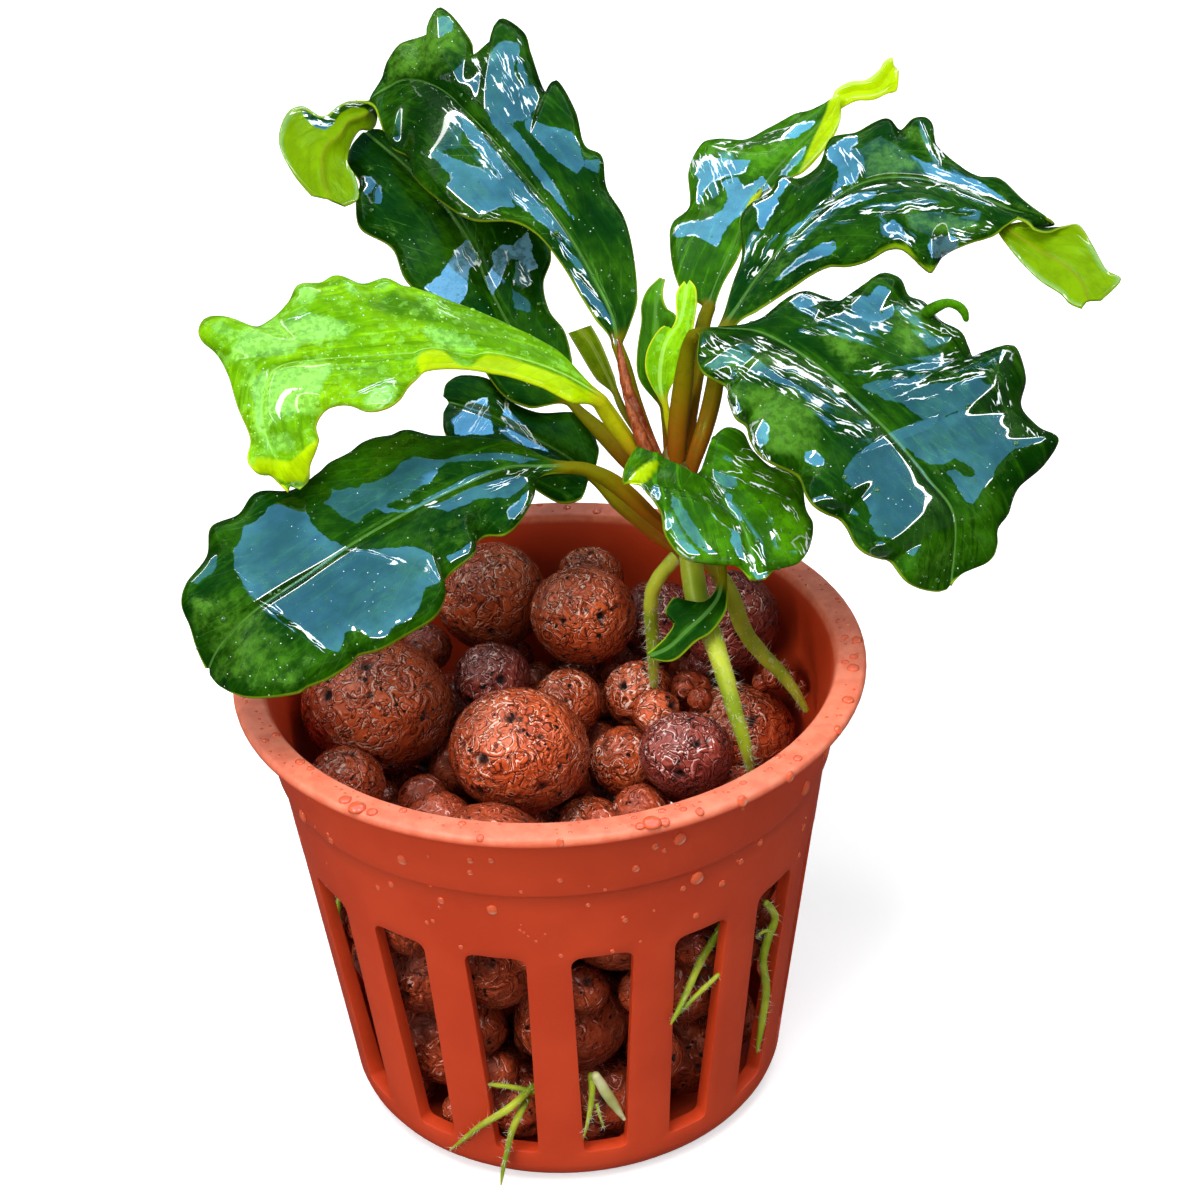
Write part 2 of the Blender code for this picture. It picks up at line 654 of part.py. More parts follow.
def add_pot(group, cutters):
    plastic = finish("terracotta plastic", (0.62, 0.095, 0.035), 0.38)
    data = bpy.data.meshes.new("net_pot")
    section = pot_profile()
    data.from_pydata(
        [(x, 0.0, z) for x, z in section], [(i, i + 1) for i in range(len(section) - 1)], []
    )
    pot = place("net_pot", data, group, plastic)
    turned = pot.modifiers.new("turned", "SCREW")
    turned.steps = turned.render_steps = POT_SIDES
    turned.use_merge_vertices = True
    turned.merge_threshold = 0.01 * MM
    turned.use_normal_calculate = True
    for cutter in (slot_cutter(cutters), drain_cutter(cutters)):
        cut = pot.modifiers.new(cutter.name, "BOOLEAN")
        cut.operation = "DIFFERENCE"
        cut.object = cutter
        cut.use_self = False


def add_stem(name, points, group, material):
    """A round stem through its points, with rounded run and closed ends."""
    data = bpy.data.curves.new(name, "CURVE")
    data.dimensions = "3D"
    data.bevel_depth = 1.0
    data.bevel_resolution = STEM_RESOLUTION
    data.use_fill_caps = True
    knots = [(*seen(*point[:3]), point[3] * MM) for point in points]
    places = smooth_run(knots, STEM_STATIONS[min(len(points), 6)])
    run = data.splines.new("POLY")
    run.points.add(len(places) - 1)
    for knot, (x, y, z, radius) in zip(run.points, places):
        knot.co = (x, y, z, 1.0)
        knot.radius = radius
    return place(name, data, group, material)


def smooth_run(points, count):
    """Points evenly spread along a smooth curve through the given ones, in any dimension."""
    points = [tuple(point) for point in points]
    size = len(points[0])
    along = [0.0]
    for before, after in zip(points, points[1:]):
        along.append(along[-1] + math.dist(before[:3], after[:3]))
    ends = [points[0]] + points + [points[-1]]
    found = []
    for step in range(count):
        target = along[-1] * step / (count - 1)
        span = max(i for i in range(len(points) - 1) if along[i] <= target + 1e-12)
        part = (target - along[span]) / max(along[span + 1] - along[span], 1e-12)
        a, b, c, d = ends[span : span + 4]
        found.append(
            tuple(
                0.5
                * (
                    2 * b[k]
                    + (c[k] - a[k]) * part
                    + (2 * a[k] - 5 * b[k] + 4 * c[k] - d[k]) * part**2
                    + (3 * b[k] - a[k] - 3 * c[k] + d[k]) * part**3
                )
                for k in range(size)
            )
        )
    return found


def blade_rows(midrib, left, right, lean, count):
    """Left margin, middle and right margin of a blade at each station along it."""
    middles = smooth_run(midrib, count)
    scale = VIEW_DISTANCE / FRAME_FOCAL / MM
    margins = []
    for side in (left, right):
        margin = []
        full = [(*point, 0.0) if len(point) == 2 else point for point in side]
        for (x0, y0, near), (x1, y1, extra) in zip(middles, smooth_run(full, count)):
            depth = near + extra + ((x1 - x0) * lean[0] + (y0 - y1) * lean[1]) * scale
            margin.append(seen(x1, y1, depth))
        margins.append(margin)
    return [list(row) for row in zip(margins[0], [seen(*point) for point in middles], margins[1])]


def leaf_rings(leaf, stations):
    """Rings of eight points round the leaf, from the foot of its stalk to its tip."""
    rows = blade_rows(leaf["midrib"], leaf["left"], leaf["right"], leaf["lean"], stations)
    for row in leaf.get("curl", ()):
        rows.append([seen(*point) for point in row])
    across = (rows[1][2] - rows[1][0]).normalized()
    rings = []
    stalk = [(*seen(*point[:3]), point[3] * MM) for point in leaf["stalk"]]
    for x, y, z, radius in smooth_run(stalk, len(stalk)):
        middle = Vector((x, y, z))
        ahead = (rows[1][1] - middle).normalized()
        side = (across - ahead * across.dot(ahead)).normalized()
        face = side.cross(ahead)
        rings.append([
            middle + (face * math.sin(turn) - side * math.cos(turn)) * radius
            for turn in (math.tau * step / 8 for step in range(8))
        ])
    face = None
    for number, (low, middle, high) in enumerate(rows):
        ahead = rows[min(number + 1, len(rows) - 1)][1] - rows[max(number - 1, 0)][1]
        fresh = (high - low).cross(ahead)
        fresh = fresh.normalized() if face is None else (fresh.normalized() + face * 0.5).normalized()
        face = fresh
        half = face * (BLADE_THICKNESS / 2)
        quarters = [(low + middle) / 2, (middle + high) / 2]
        rings.append([
            low, quarters[0] + half * 1.6, middle + half, quarters[1] + half * 1.6,
            high, quarters[1] - half * 0.4, middle - half * 1.4, quarters[0] - half * 0.4,
        ])
    return rings


def add_leaf(name, leaf, group, material):
    form = bmesh.new()
    stations = SMALL_BLADE_STATIONS if name in SMALL_BLADES else BLADE_STATIONS
    rings = [[form.verts.new(point) for point in ring] for ring in leaf_rings(leaf, stations)]
    for before, after in zip(rings, rings[1:]):
        for step in range(8):
            ahead = (step + 1) % 8
            form.faces.new((before[step], before[ahead], after[ahead], after[step]))
    form.faces.new(reversed(rings[0]))
    form.faces.new(rings[-1])
    bmesh.ops.recalc_face_normals(form, faces=form.faces)
    data = mesh_from(form, name)
    data.shade_smooth()
    return place(name, data, group, material)


def add_plant(group):
    deep = finish("dark leaf", (0.012, 0.075, 0.012), 0.12, coat=0.6)
    light = finish("young leaf", (0.19, 0.42, 0.02), 0.15, coat=0.6)
    red = finish("leaf sheath", (0.28, 0.07, 0.02), 0.35)
    pale = finish("root", (0.42, 0.45, 0.06), 0.4)
    add_stem("rhizome", RHIZOME, group, red)
    for name, points in SHEATHS.items():
        add_stem(name, points, group, red)
    for name, points in ROOTS.items():
        add_stem(name, points, group, pale)
    for name, leaf in LEAVES.items():
        young = name in ("leaf_young_left", "leaf_new_light", "leaf_front")
        add_leaf(name, leaf, group, light if young else deep)


def main():
    clear_scene()
    group = collection("bucephalandra in net pot")
    cutters = collection("cutters")
    add_pot(group, cutters)
    add_pebbles(group)
    add_plant(group)


main()
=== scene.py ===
"""Bucephalandra in a slotted net pot of wet fired clay pebbles, dressed for its picture.

Metres, +Z up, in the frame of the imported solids. The origin is the middle of the pot's underside.
"""

import math

import bmesh
import bpy
import numpy as np
from mathutils import Matrix, Vector
from mathutils.bvhtree import BVHTree


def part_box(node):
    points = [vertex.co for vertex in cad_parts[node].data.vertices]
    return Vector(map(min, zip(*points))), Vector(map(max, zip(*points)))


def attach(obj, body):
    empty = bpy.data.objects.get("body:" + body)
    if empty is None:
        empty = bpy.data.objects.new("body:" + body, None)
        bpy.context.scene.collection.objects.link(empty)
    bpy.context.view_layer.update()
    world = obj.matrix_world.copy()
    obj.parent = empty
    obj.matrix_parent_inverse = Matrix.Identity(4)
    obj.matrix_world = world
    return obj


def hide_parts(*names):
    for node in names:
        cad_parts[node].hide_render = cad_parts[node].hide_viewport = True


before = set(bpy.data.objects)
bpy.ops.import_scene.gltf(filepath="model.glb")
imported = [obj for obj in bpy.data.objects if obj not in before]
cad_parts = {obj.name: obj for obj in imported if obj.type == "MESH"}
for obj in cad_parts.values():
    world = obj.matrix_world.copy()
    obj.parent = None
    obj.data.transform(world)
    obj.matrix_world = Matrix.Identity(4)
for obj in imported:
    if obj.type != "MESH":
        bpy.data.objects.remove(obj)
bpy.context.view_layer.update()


# View. The picture is taken from 0.23 m away and 31 degrees up, with the camera tilted a little.
# A place in it is across,down in a field of 1200 x 1200 points; near, where it is given, is how
# many millimetres the place lies in front of the upright plane through the view's target.
MM = 0.001
PICTURE_MIDDLE = 600.0
PICTURE_FOCAL = 2960.0
VIEW_DISTANCE = 231.5 * MM
VIEW_ELEVATION = math.radians(31.05)
VIEW_ROLL = math.radians(-2.36)
VIEW_TARGET = np.array((4.19, 0.0, 44.39)) * MM
SENSOR = 36.0
CLIP_NEAR = 0.01
CLIP_FAR = 20.0

towards = np.array((0.0, -math.cos(VIEW_ELEVATION), math.sin(VIEW_ELEVATION)))
level = np.array((1.0, 0.0, 0.0))
upright = np.cross(towards, level)
rightward = level * math.cos(VIEW_ROLL) + upright * math.sin(VIEW_ROLL)
upward = upright * math.cos(VIEW_ROLL) - level * math.sin(VIEW_ROLL)
eye = VIEW_TARGET + towards * VIEW_DISTANCE

camera_data = bpy.data.cameras.new("camera")
camera_data.sensor_width = SENSOR
camera_data.lens = PICTURE_FOCAL / (2 * PICTURE_MIDDLE) * SENSOR
camera_data.clip_start = CLIP_NEAR
camera_data.clip_end = CLIP_FAR
camera = bpy.data.objects.new("camera", camera_data)
bpy.context.scene.collection.objects.link(camera)
turn = Matrix((rightward, upward, towards)).transposed().to_4x4()
camera.matrix_world = Matrix.Translation(eye) @ turn
bpy.context.scene.camera = camera
bpy.context.scene.view_settings.view_transform = "Standard"


# Floor and light. A white table; white softboxes above, at the front left, at the right and,
# weaker, behind; two small bare lamps that show only as glints; and over it all a pale blue sheet
# with bright tubes along its edges, which lights nothing and shows only in what is wet or glossy.
class Value:
    """A value in a finish under way; sums of values add Math nodes."""

    def __init__(self, finish, socket):
        self.finish = finish
        self.socket = socket

    def math(self, operation, *others):
        terms = dict(enumerate((self, *others)))
        return self.finish.node("ShaderNodeMath", {"operation": operation}, terms)

    def __add__(self, other):
        return self.math("ADD", other)

    def __radd__(self, other):
        return self.math("ADD", other)

    def __sub__(self, other):
        return self.math("SUBTRACT", other)

    def __rsub__(self, other):
        return (self * -1.0).math("ADD", other)

    def __mul__(self, other):
        return self.math("MULTIPLY", other)

    def __rmul__(self, other):
        return self.math("MULTIPLY", other)


class Finish:
    """A material under way: node() adds any node and returns one output of it."""

    def __init__(self, name):
        self.material = bpy.data.materials.new(name)
        self.material.use_nodes = True
        self.tree = self.material.node_tree
        self.tree.nodes.clear()

    def node(self, kind, settings=None, inputs=None, output=0):
        made = self.tree.nodes.new(kind)
        for name, value in (settings or {}).items():
            setattr(made, name, value)
        for name, value in (inputs or {}).items():
            socket = made.inputs[name]
            if isinstance(value, Value):
                self.tree.links.new(value.socket, socket)
            else:
                socket.default_value = value
        return Value(self, made.outputs[output])

    def place(self):
        return self.node("ShaderNodeTexCoord", output="Object")

    def mark(self, name):
        return self.node("ShaderNodeAttribute", {"attribute_name": name}, output="Fac")

    def cloud(self, place, scale, detail, rough=0.5, bend=0.0, output=0):
        """Cloudy noise from 0 to 1 over a place."""
        values = {"Vector": place, "Scale": scale, "Detail": detail, "Roughness": rough}
        return self.node("ShaderNodeTexNoise", None, {**values, "Distortion": bend}, output)

    def noise(self, size, detail=3.0, rough=0.5):
        """Cloudy noise from 0 to 1, with lumps of about this many millimetres."""
        return self.cloud(self.place(), 1.0 / (size * MM), detail, rough)

    def cells(self, size, place=None):
        """Distance in a pattern of cells of about this many millimetres."""
        values = {"Vector": place or self.place(), "Scale": 1.0 / (size * MM)}
        return self.node("ShaderNodeTexVoronoi", {"feature": "F1"}, values, "Distance")

    def bent_place(self, size, amount):
        """The place, pushed about by noise, in millimetres."""
        cloud = self.cloud(self.place(), 1.0 / (size * MM), 2.0, output="Color")
        middle = self.node("ShaderNodeVectorMath", {"operation": "SUBTRACT"},
                           {0: cloud, 1: (0.5, 0.5, 0.5)})
        push = self.node("ShaderNodeVectorMath", {"operation": "SCALE"},
                         {0: middle, "Scale": amount * MM})
        return self.node("ShaderNodeVectorMath", {"operation": "ADD"}, {0: self.place(), 1: push})

    def step(self, value, low, high):
        """0 below low, 1 above high and smooth between; low may be the larger."""
        ends = {"Value": value, "From Min": low, "From Max": high}
        return self.node("ShaderNodeMapRange", {"interpolation_type": "SMOOTHSTEP"}, ends)

    def mix(self, share, first, second):
        """The first colour, giving way to the second as share goes from 0 to 1."""
        colours = [c if isinstance(c, Value) else (*c, 1.0) for c in (first, second)]
        inputs = {0: share, 6: colours[0], 7: colours[1]}
        return self.node("ShaderNodeMix", {"data_type": "RGBA"}, inputs, 2)

    def surface(self, colour, roughness, height=None, **constants):
        """Ends the finish: height is the relief in millimetres, and the rest are constants."""
        values = {"Roughness": roughness}
        values["Base Color"] = colour if isinstance(colour, Value) else (*colour, 1.0)
        for name, value in constants.items():
            values[name.replace("_", " ").title().replace("Ior", "IOR")] = value
        if height is not None:
            values["Normal"] = self.node("ShaderNodeBump", None, {"Height": height, "Distance": MM})
        return self.end(self.node("ShaderNodeBsdfPrincipled", None, values))

    def end(self, shader):
        output = self.tree.nodes.new("ShaderNodeOutputMaterial")
        self.tree.links.new(shader.socket, output.inputs["Surface"])
        return self.material


def table_finish():
    """White to the camera and grey to the light that bounces, so that nothing is washed out. Far
    from the pot it glows as white as the air behind it, so that no edge shows."""
    finish = Finish("white table")
    away = finish.node("ShaderNodeVectorMath", {"operation": "LENGTH"}, {0: finish.place()}, "Value")
    far = finish.step(away, FADE_START, FADE_END)
    glow = finish.mix(far, (0.50, 0.50, 0.50), (1.0, 1.0, 1.0))
    paper = {"Base Color": (0.86, 0.86, 0.86, 1.0), "Roughness": 0.9}
    paper |= {"Emission Color": glow, "Emission Strength": 1.0}
    shown = finish.node("ShaderNodeBsdfPrincipled", None, paper)
    mirrored = finish.node("ShaderNodeLightPath", output="Is Glossy Ray")
    grey = finish.mix(mirrored, (0.30, 0.30, 0.30), (0.08, 0.08, 0.08))
    bounced = finish.node("ShaderNodeBsdfDiffuse", None, {"Color": grey})
    to_camera = finish.node("ShaderNodeLightPath", output="Is Camera Ray")
    return finish.end(finish.node("ShaderNodeMixShader", None, {0: to_camera, 1: bounced, 2: shown}))


TABLE_SIZE = 6.0
FADE_START = 0.3
FADE_END = 1.2
half = TABLE_SIZE / 2
corners = [(-half, -half, 0.0), (half, -half, 0.0), (half, half, 0.0), (-half, half, 0.0)]
table_mesh = bpy.data.meshes.new("table")
table_mesh.from_pydata(corners, [], [(0, 1, 2, 3)])
table_mesh.materials.append(table_finish())
table = bpy.data.objects.new("table", table_mesh)
bpy.context.scene.collection.objects.link(table)


LAMPS_AIM = 0.05


def add_panel(name, bearing, elevation, distance, size, brightness, colour, aside=(0.0, 0.0)):
    """A lamp panel that faces the plant. brightness is against white paper in full light."""
    turn = math.radians(bearing)
    rise = math.radians(elevation)
    way = Vector((math.sin(turn) * math.cos(rise), -math.cos(turn) * math.cos(rise), math.sin(rise)))
    data = bpy.data.lights.new(name, "AREA")
    data.shape = "RECTANGLE"
    data.size, data.size_y = size
    data.energy = brightness * math.pi * size[0] * size[1]
    data.color = colour
    lamp = bpy.data.objects.new(name, data)
    facing = way.to_track_quat("Z", "Y").to_matrix().to_4x4()
    middle = Vector((0.0, 0.0, LAMPS_AIM)) + way * distance
    lamp.matrix_world = Matrix.Translation(middle) @ facing @ Matrix.Translation((*aside, 0.0))
    lamp.visible_camera = False
    bpy.context.scene.collection.objects.link(lamp)
    return lamp


SKY = (0.13, 0.50, 1.0)
WHITE = (1.0, 1.0, 1.0)
add_panel("key softbox", -14, 70, 1.2, (0.6, 0.6), 10.5, WHITE).visible_glossy = False
add_panel("front softbox", -38, 28, 1.0, (0.5, 0.5), 5.8, WHITE).visible_glossy = False
add_panel("right softbox", 62, 40, 1.0, (0.25, 0.5), 4.0, WHITE).visible_glossy = False
add_panel("back softbox", 168, 18, 1.2, (0.8, 0.5), 2.0, WHITE).visible_glossy = False
add_panel("bare lamp left", -50, 52, 1.2, (0.16, 0.16), 45.0, WHITE).visible_diffuse = False
add_panel("bare lamp right", 48, 62, 1.2, (0.12, 0.12), 45.0, WHITE).visible_diffuse = False
REFLECTED = [
    ("sky sheet", (2.5, 1.7), 2.6, SKY, (0.0, 0.0)),
    ("tube left", (0.07, 1.7), 22.0, WHITE, (-1.285, 0.0)),
    ("tube right", (0.07, 1.7), 22.0, WHITE, (1.285, 0.0)),
    ("tube front", (2.5, 0.07), 22.0, WHITE, (0.0, -0.885)),
    ("tube back", (2.5, 0.07), 22.0, WHITE, (0.0, 0.885)),
]
for name, size, brightness, colour, aside in REFLECTED:
    add_panel(name, 0, 88, 1.2, size, brightness, colour, aside).visible_diffuse = False

ROOM = (0.30, 0.31, 0.32, 1.0)
ROOM_IN_GLOSS = (0.045, 0.055, 0.06, 1.0)
ROOM_TO_CAMERA = (1.0, 1.0, 1.0, 1.0)
world = bpy.data.worlds.new("studio")
world.use_nodes = True
bpy.context.scene.world = world
nodes, links = world.node_tree.nodes, world.node_tree.links
ray = nodes.new("ShaderNodeLightPath")
bounced, shown = nodes.new("ShaderNodeMix"), nodes.new("ShaderNodeMix")
for mixed, kind, colour in ((bounced, "Is Glossy Ray", ROOM_IN_GLOSS),
                            (shown, "Is Camera Ray", ROOM_TO_CAMERA)):
    mixed.data_type = "RGBA"
    mixed.inputs[7].default_value = colour
    links.new(ray.outputs[kind], mixed.inputs[0])
bounced.inputs[6].default_value = ROOM
links.new(bounced.outputs[2], shown.inputs[6])
links.new(shown.outputs[2], nodes["Background"].inputs["Color"])
nodes["Background"].inputs["Strength"].default_value = 1.0


# Net pot. A terracotta-coloured plastic pot, moulded in one piece with a broad flat lip, a
# stepped collar, sixteen tall slots and eight drain slots in its floor. Matt, slightly waxy.
RIM_RADIUS = 25.0
POT_HEIGHT = 39.5
LIP_UNDERSIDE = 38.6
LIP_INNER_RADIUS = 22.65
COLLAR_TOP_RADIUS = 23.1
STEP_HEIGHT = 32.4
STEP_RADIUS = 22.3
STEP_DEPTH = 0.3
BASE_RADIUS = 17.7
BASE_ROUND = 3.0
WALL = 0.9
POT_FLOOR = 1.3
SLOTS = 16
SLOT_PHASE = math.radians(9.0)
SLOT_TOP = 25.6
SLOT_BOTTOM = 3.9
SLOT_WIDE_TOP = 2.4
SLOT_WIDE_BOTTOM = 1.75
SLOT_CORNER = 0.9
SLOT_EDGE_ROUND = 0.14
COLUMNS = (-1.0, -0.5, 0.0, 0.5, 1.0, 1.25, 1.5, 1.75)


def wall_radius(height):
    return BASE_RADIUS + (STEP_RADIUS - STEP_DEPTH - BASE_RADIUS) * height / STEP_HEIGHT


def inner_radius(height):
    low = BASE_RADIUS - 0.1 - WALL
    foot = POT_FLOOR + 1.0
    return low + (wall_radius(STEP_HEIGHT) - WALL - low) * (height - foot) / (STEP_HEIGHT - foot)


def slot_rows():
    """Height and half width of a slot, row by row, from its foot to its rounded top."""
    rows = [(SLOT_BOTTOM, 1.3), (SLOT_BOTTOM + 0.13, 1.62), (SLOT_BOTTOM + 0.45, SLOT_WIDE_BOTTOM)]
    shoulder = SLOT_TOP - SLOT_CORNER
    for share in np.linspace(0.0, 1.0, 12)[1:]:
        height = rows[2][0] + (shoulder - rows[2][0]) * share
        rows.append((height, SLOT_WIDE_BOTTOM + (SLOT_WIDE_TOP - SLOT_WIDE_BOTTOM) * share))
    for angle in np.radians((18, 36, 54, 72, 90)):
        wide = SLOT_WIDE_TOP - SLOT_CORNER * (1.0 - math.cos(angle))
        rows.append((shoulder + SLOT_CORNER * math.sin(angle), wide))
    return rows


DRAIN_ROWS = [(5.0, 0.45), (5.3, 0.8), (5.9, 1.05), (7.5, 1.1), (9.0, 1.1), (10.5, 1.1),
              (12.0, 1.1), (12.6, 0.95), (13.0, 0.5)]


def arc(middle, radius, start, stop, steps):
    angles = np.radians(np.linspace(start, stop, steps + 1))
    return [(middle[0] + radius * math.cos(a), middle[1] + radius * math.sin(a)) for a in angles]


def pot_rows():
    """The pot's section as rows of (radius, height, half width of the opening, opening)."""
    rows = [(0.02, 0.0, 0.002, ""), (2.5, 0.0, 0.2, "")]
    rows += [(r, 0.0, w, f"drain{i}") for i, (r, w) in enumerate(DRAIN_ROWS)]
    corner = (wall_radius(BASE_ROUND) - BASE_ROUND, BASE_ROUND)
    rows += [(r, z, 1.2, "") for r, z in arc(corner, BASE_ROUND, -90, 0, 7)]
    slots = slot_rows()
    rows += [(wall_radius(z), z, w, f"slot{i}") for i, (z, w) in enumerate(slots)]
    edge = 0.12
    outside = [(wall_radius(z), z) for z in (26.6, 28.5, 30.5, STEP_HEIGHT - 0.32)]
    outside += [(STEP_RADIUS - STEP_DEPTH + 0.04, STEP_HEIGHT - 0.22)]
    outside += [(STEP_RADIUS - edge * 0.7, STEP_HEIGHT - 0.1), (STEP_RADIUS, STEP_HEIGHT + 0.1)]
    slope = (COLLAR_TOP_RADIUS - STEP_RADIUS) / (LIP_UNDERSIDE - STEP_HEIGHT)
    outside += [(STEP_RADIUS + slope * (z - STEP_HEIGHT), z) for z in (34.0, 36.0, 38.0)]
    outside += arc((COLLAR_TOP_RADIUS + 0.35, LIP_UNDERSIDE - 0.35), 0.35, 180, 90, 4)
    outside += arc((RIM_RADIUS - 0.28, LIP_UNDERSIDE + 0.28), 0.28, -90, 0, 4)
    outside += arc((RIM_RADIUS - 0.4, POT_HEIGHT - 0.4), 0.4, 0, 90, 6)[1:]
    outside += [(24.0, POT_HEIGHT + 0.03), (23.4, POT_HEIGHT)]
    outside += arc((LIP_INNER_RADIUS + 0.3, POT_HEIGHT - 0.35), 0.35, 90, 170, 5)
    outside += [(LIP_INNER_RADIUS - 0.35, POT_HEIGHT - 0.9), (LIP_INNER_RADIUS - 0.5, 38.0)]
    top, low = (LIP_INNER_RADIUS - 0.5, 38.0), (inner_radius(STEP_HEIGHT), STEP_HEIGHT)
    for share in (0.35, 0.7, 1.0):
        outside.append(tuple(a + (b - a) * share for a, b in zip(top, low)))
    outside += [(inner_radius(z), z) for z in (30.0, 27.5)]
    rows += [(r, z, 1.6, "") for r, z in outside]
    rows += [(inner_radius(z), z, w, f"slot{i}") for i, (z, w) in reversed(list(enumerate(slots)))]
    foot = (inner_radius(POT_FLOOR + 1.0) - 1.0, POT_FLOOR + 1.0)
    rows += [(r, z, 1.2, "") for r, z in arc(foot, 1.0, 0, -90, 4)]
    rows += [(r, POT_FLOOR, w, f"drain{i}") for i, (r, w) in reversed(list(enumerate(DRAIN_ROWS)))]
    rows += [(2.5, POT_FLOOR, 0.2, ""), (0.02, POT_FLOOR, 0.002, "")]
    return rows


def pot_points(rows):
    """The points of every row, sixteen times round: evenly over each slot and the bar beside it."""
    sector = math.tau / SLOTS
    points = []
    for radius, height, wide, _ in rows:
        edge = math.asin(min(wide / radius, 0.98 * math.sin(sector / 2)))
        for number in range(SLOTS):
            for column in COLUMNS:
                across = column * edge
                if abs(column) < 1.0:
                    across = math.asin(column * math.sin(edge))
                elif column > 1.0:
                    across = edge + (column - 1.0) * (sector - 2 * edge)
                bearing = SLOT_PHASE + number * sector + across
                points.append((radius * math.sin(bearing), -radius * math.cos(bearing), height))
    return np.array(points) * MM


def pot_faces(rows):
    """Quads between the rows, left out in the openings, whose edges are then walled."""
    around = SLOTS * len(COLUMNS)

    def corner(row, column):
        return row * around + column % around

    def open_here(row, column):
        kinds = [rows[row][3], rows[row + 1][3]]
        if column % len(COLUMNS) > 3 or not all(kinds) or kinds[0][:4] != kinds[1][:4]:
            return False
        return kinds[0].startswith("slot") or (column // len(COLUMNS)) % 2 == 0

    faces = [tuple(corner(0, column) for column in reversed(range(around)))]
    for row in range(len(rows) - 1):
        for column in range(around):
            if not open_here(row, column):
                faces.append((corner(row, column), corner(row, column + 1),
                              corner(row + 1, column + 1), corner(row + 1, column)))
    faces.append(tuple(corner(len(rows) - 1, column) for column in range(around)))
    pairs = {}
    for row, (_, _, _, name) in enumerate(rows):
        if name:
            pairs.setdefault(name, []).append(row)
    for kind, count in (("slot", len(slot_rows())), ("drain", len(DRAIN_ROWS))):
        outer = [pairs[f"{kind}{i}"][0] for i in range(count)]
        inner = [pairs[f"{kind}{i}"][1] for i in range(count)]
        for number in range(0, SLOTS, 1 if kind == "slot" else 2):
            first = number * len(COLUMNS)
            loop = [(i, 0) for i in range(count)] + [(count - 1, c) for c in range(1, 5)]
            loop += [(i, 4) for i in reversed(range(count - 1))] + [(0, c) for c in (3, 2, 1)]
            for (i, a), (j, b) in zip(loop, loop[1:] + loop[:1]):
                faces.append((corner(outer[i], first + a), corner(outer[j], first + b),
                              corner(inner[j], first + b), corner(inner[i], first + a)))
    return faces


def add_piece(name, points, faces, material, slot, nodes=(), marks=None):
    """A smooth mesh that rides on the pot and stands for these solids."""
    mesh = bpy.data.meshes.new(name)
    mesh.from_pydata(np.asarray(points).tolist(), [], [tuple(int(i) for i in f) for f in faces])
    mesh.validate()
    mesh.shade_smooth()
    for mark, values in (marks or {}).items():
        layer = mesh.attributes.new(mark, "FLOAT", "POINT")
        layer.data.foreach_set("value", np.asarray(values, np.float32))
    mesh.materials.append(material)
    piece = bpy.data.objects.new(name, mesh)
    bpy.context.scene.collection.objects.link(piece)
    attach(piece, "root")
    if nodes:
        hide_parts(*nodes)
    return piece


def face_outwards(piece):
    form = bmesh.new()
    form.from_mesh(piece.data)
    bmesh.ops.recalc_face_normals(form, faces=form.faces)
    form.to_mesh(piece.data)
    form.free()


def plastic_finish():
    """Paler on the flat of the lip: a painted sheen for the light that a thin film of water there
    catches.
    """
    finish = Finish("terracotta plastic")
    cloud = finish.noise(9.0, 3.0)
    grain = finish.noise(0.22, 2.0)
    warm = finish.mix(finish.step(cloud, 0.35, 0.7), (0.64, 0.053, 0.011), (0.72, 0.066, 0.015))
    colour = finish.mix(finish.step(grain, 0.62, 0.8) * 0.25, warm, (0.78, 0.14, 0.06))
    height_up = finish.node("ShaderNodeSeparateXYZ", None, {"Vector": finish.place()}, "Z")
    # Painted sheen on the flat of the lip and its rounded outer edge: a paler colour where a wet film
    # would catch the light.
    painted_lip_sheen = finish.step(height_up, (POT_HEIGHT - 0.80) * MM, (POT_HEIGHT - 0.30) * MM)
    film = painted_lip_sheen * (0.62 + finish.step(finish.noise(1.5, 4.0, 0.65), 0.35, 0.65) * 0.38)
    colour = finish.mix(film, colour, (1.0, 0.27, 0.15))
    roughness = 0.34 + finish.noise(3.0, 4.0) * 0.2
    height = grain * 0.008 + finish.noise(1.6, 2.0) * 0.02
    return finish.surface(colour, roughness, height, specular_ior_level=0.30)


section = pot_rows()
pot = add_piece("net_pot_moulding", pot_points(section), pot_faces(section), plastic_finish(),
                "pot_plastic", ["net_pot"])
face_outwards(pot)
eased = pot.modifiers.new("eased slot edges", "BEVEL")
eased.width = SLOT_EDGE_ROUND * MM
eased.segments = 2
eased.limit_method = "ANGLE"
eased.angle_limit = math.radians(50)


# Clay pebbles. Clay balls fired in a turning kiln: red-brown, with a wrinkled sintered skin,
# near-black burst pits and darker patches, and wet. Each lies where its solid lies.
def toned(colour, share):
    """The colour, darkened by a share below 1 and brightened by one above."""
    return tuple(min(c * share, 1.0) for c in colour)


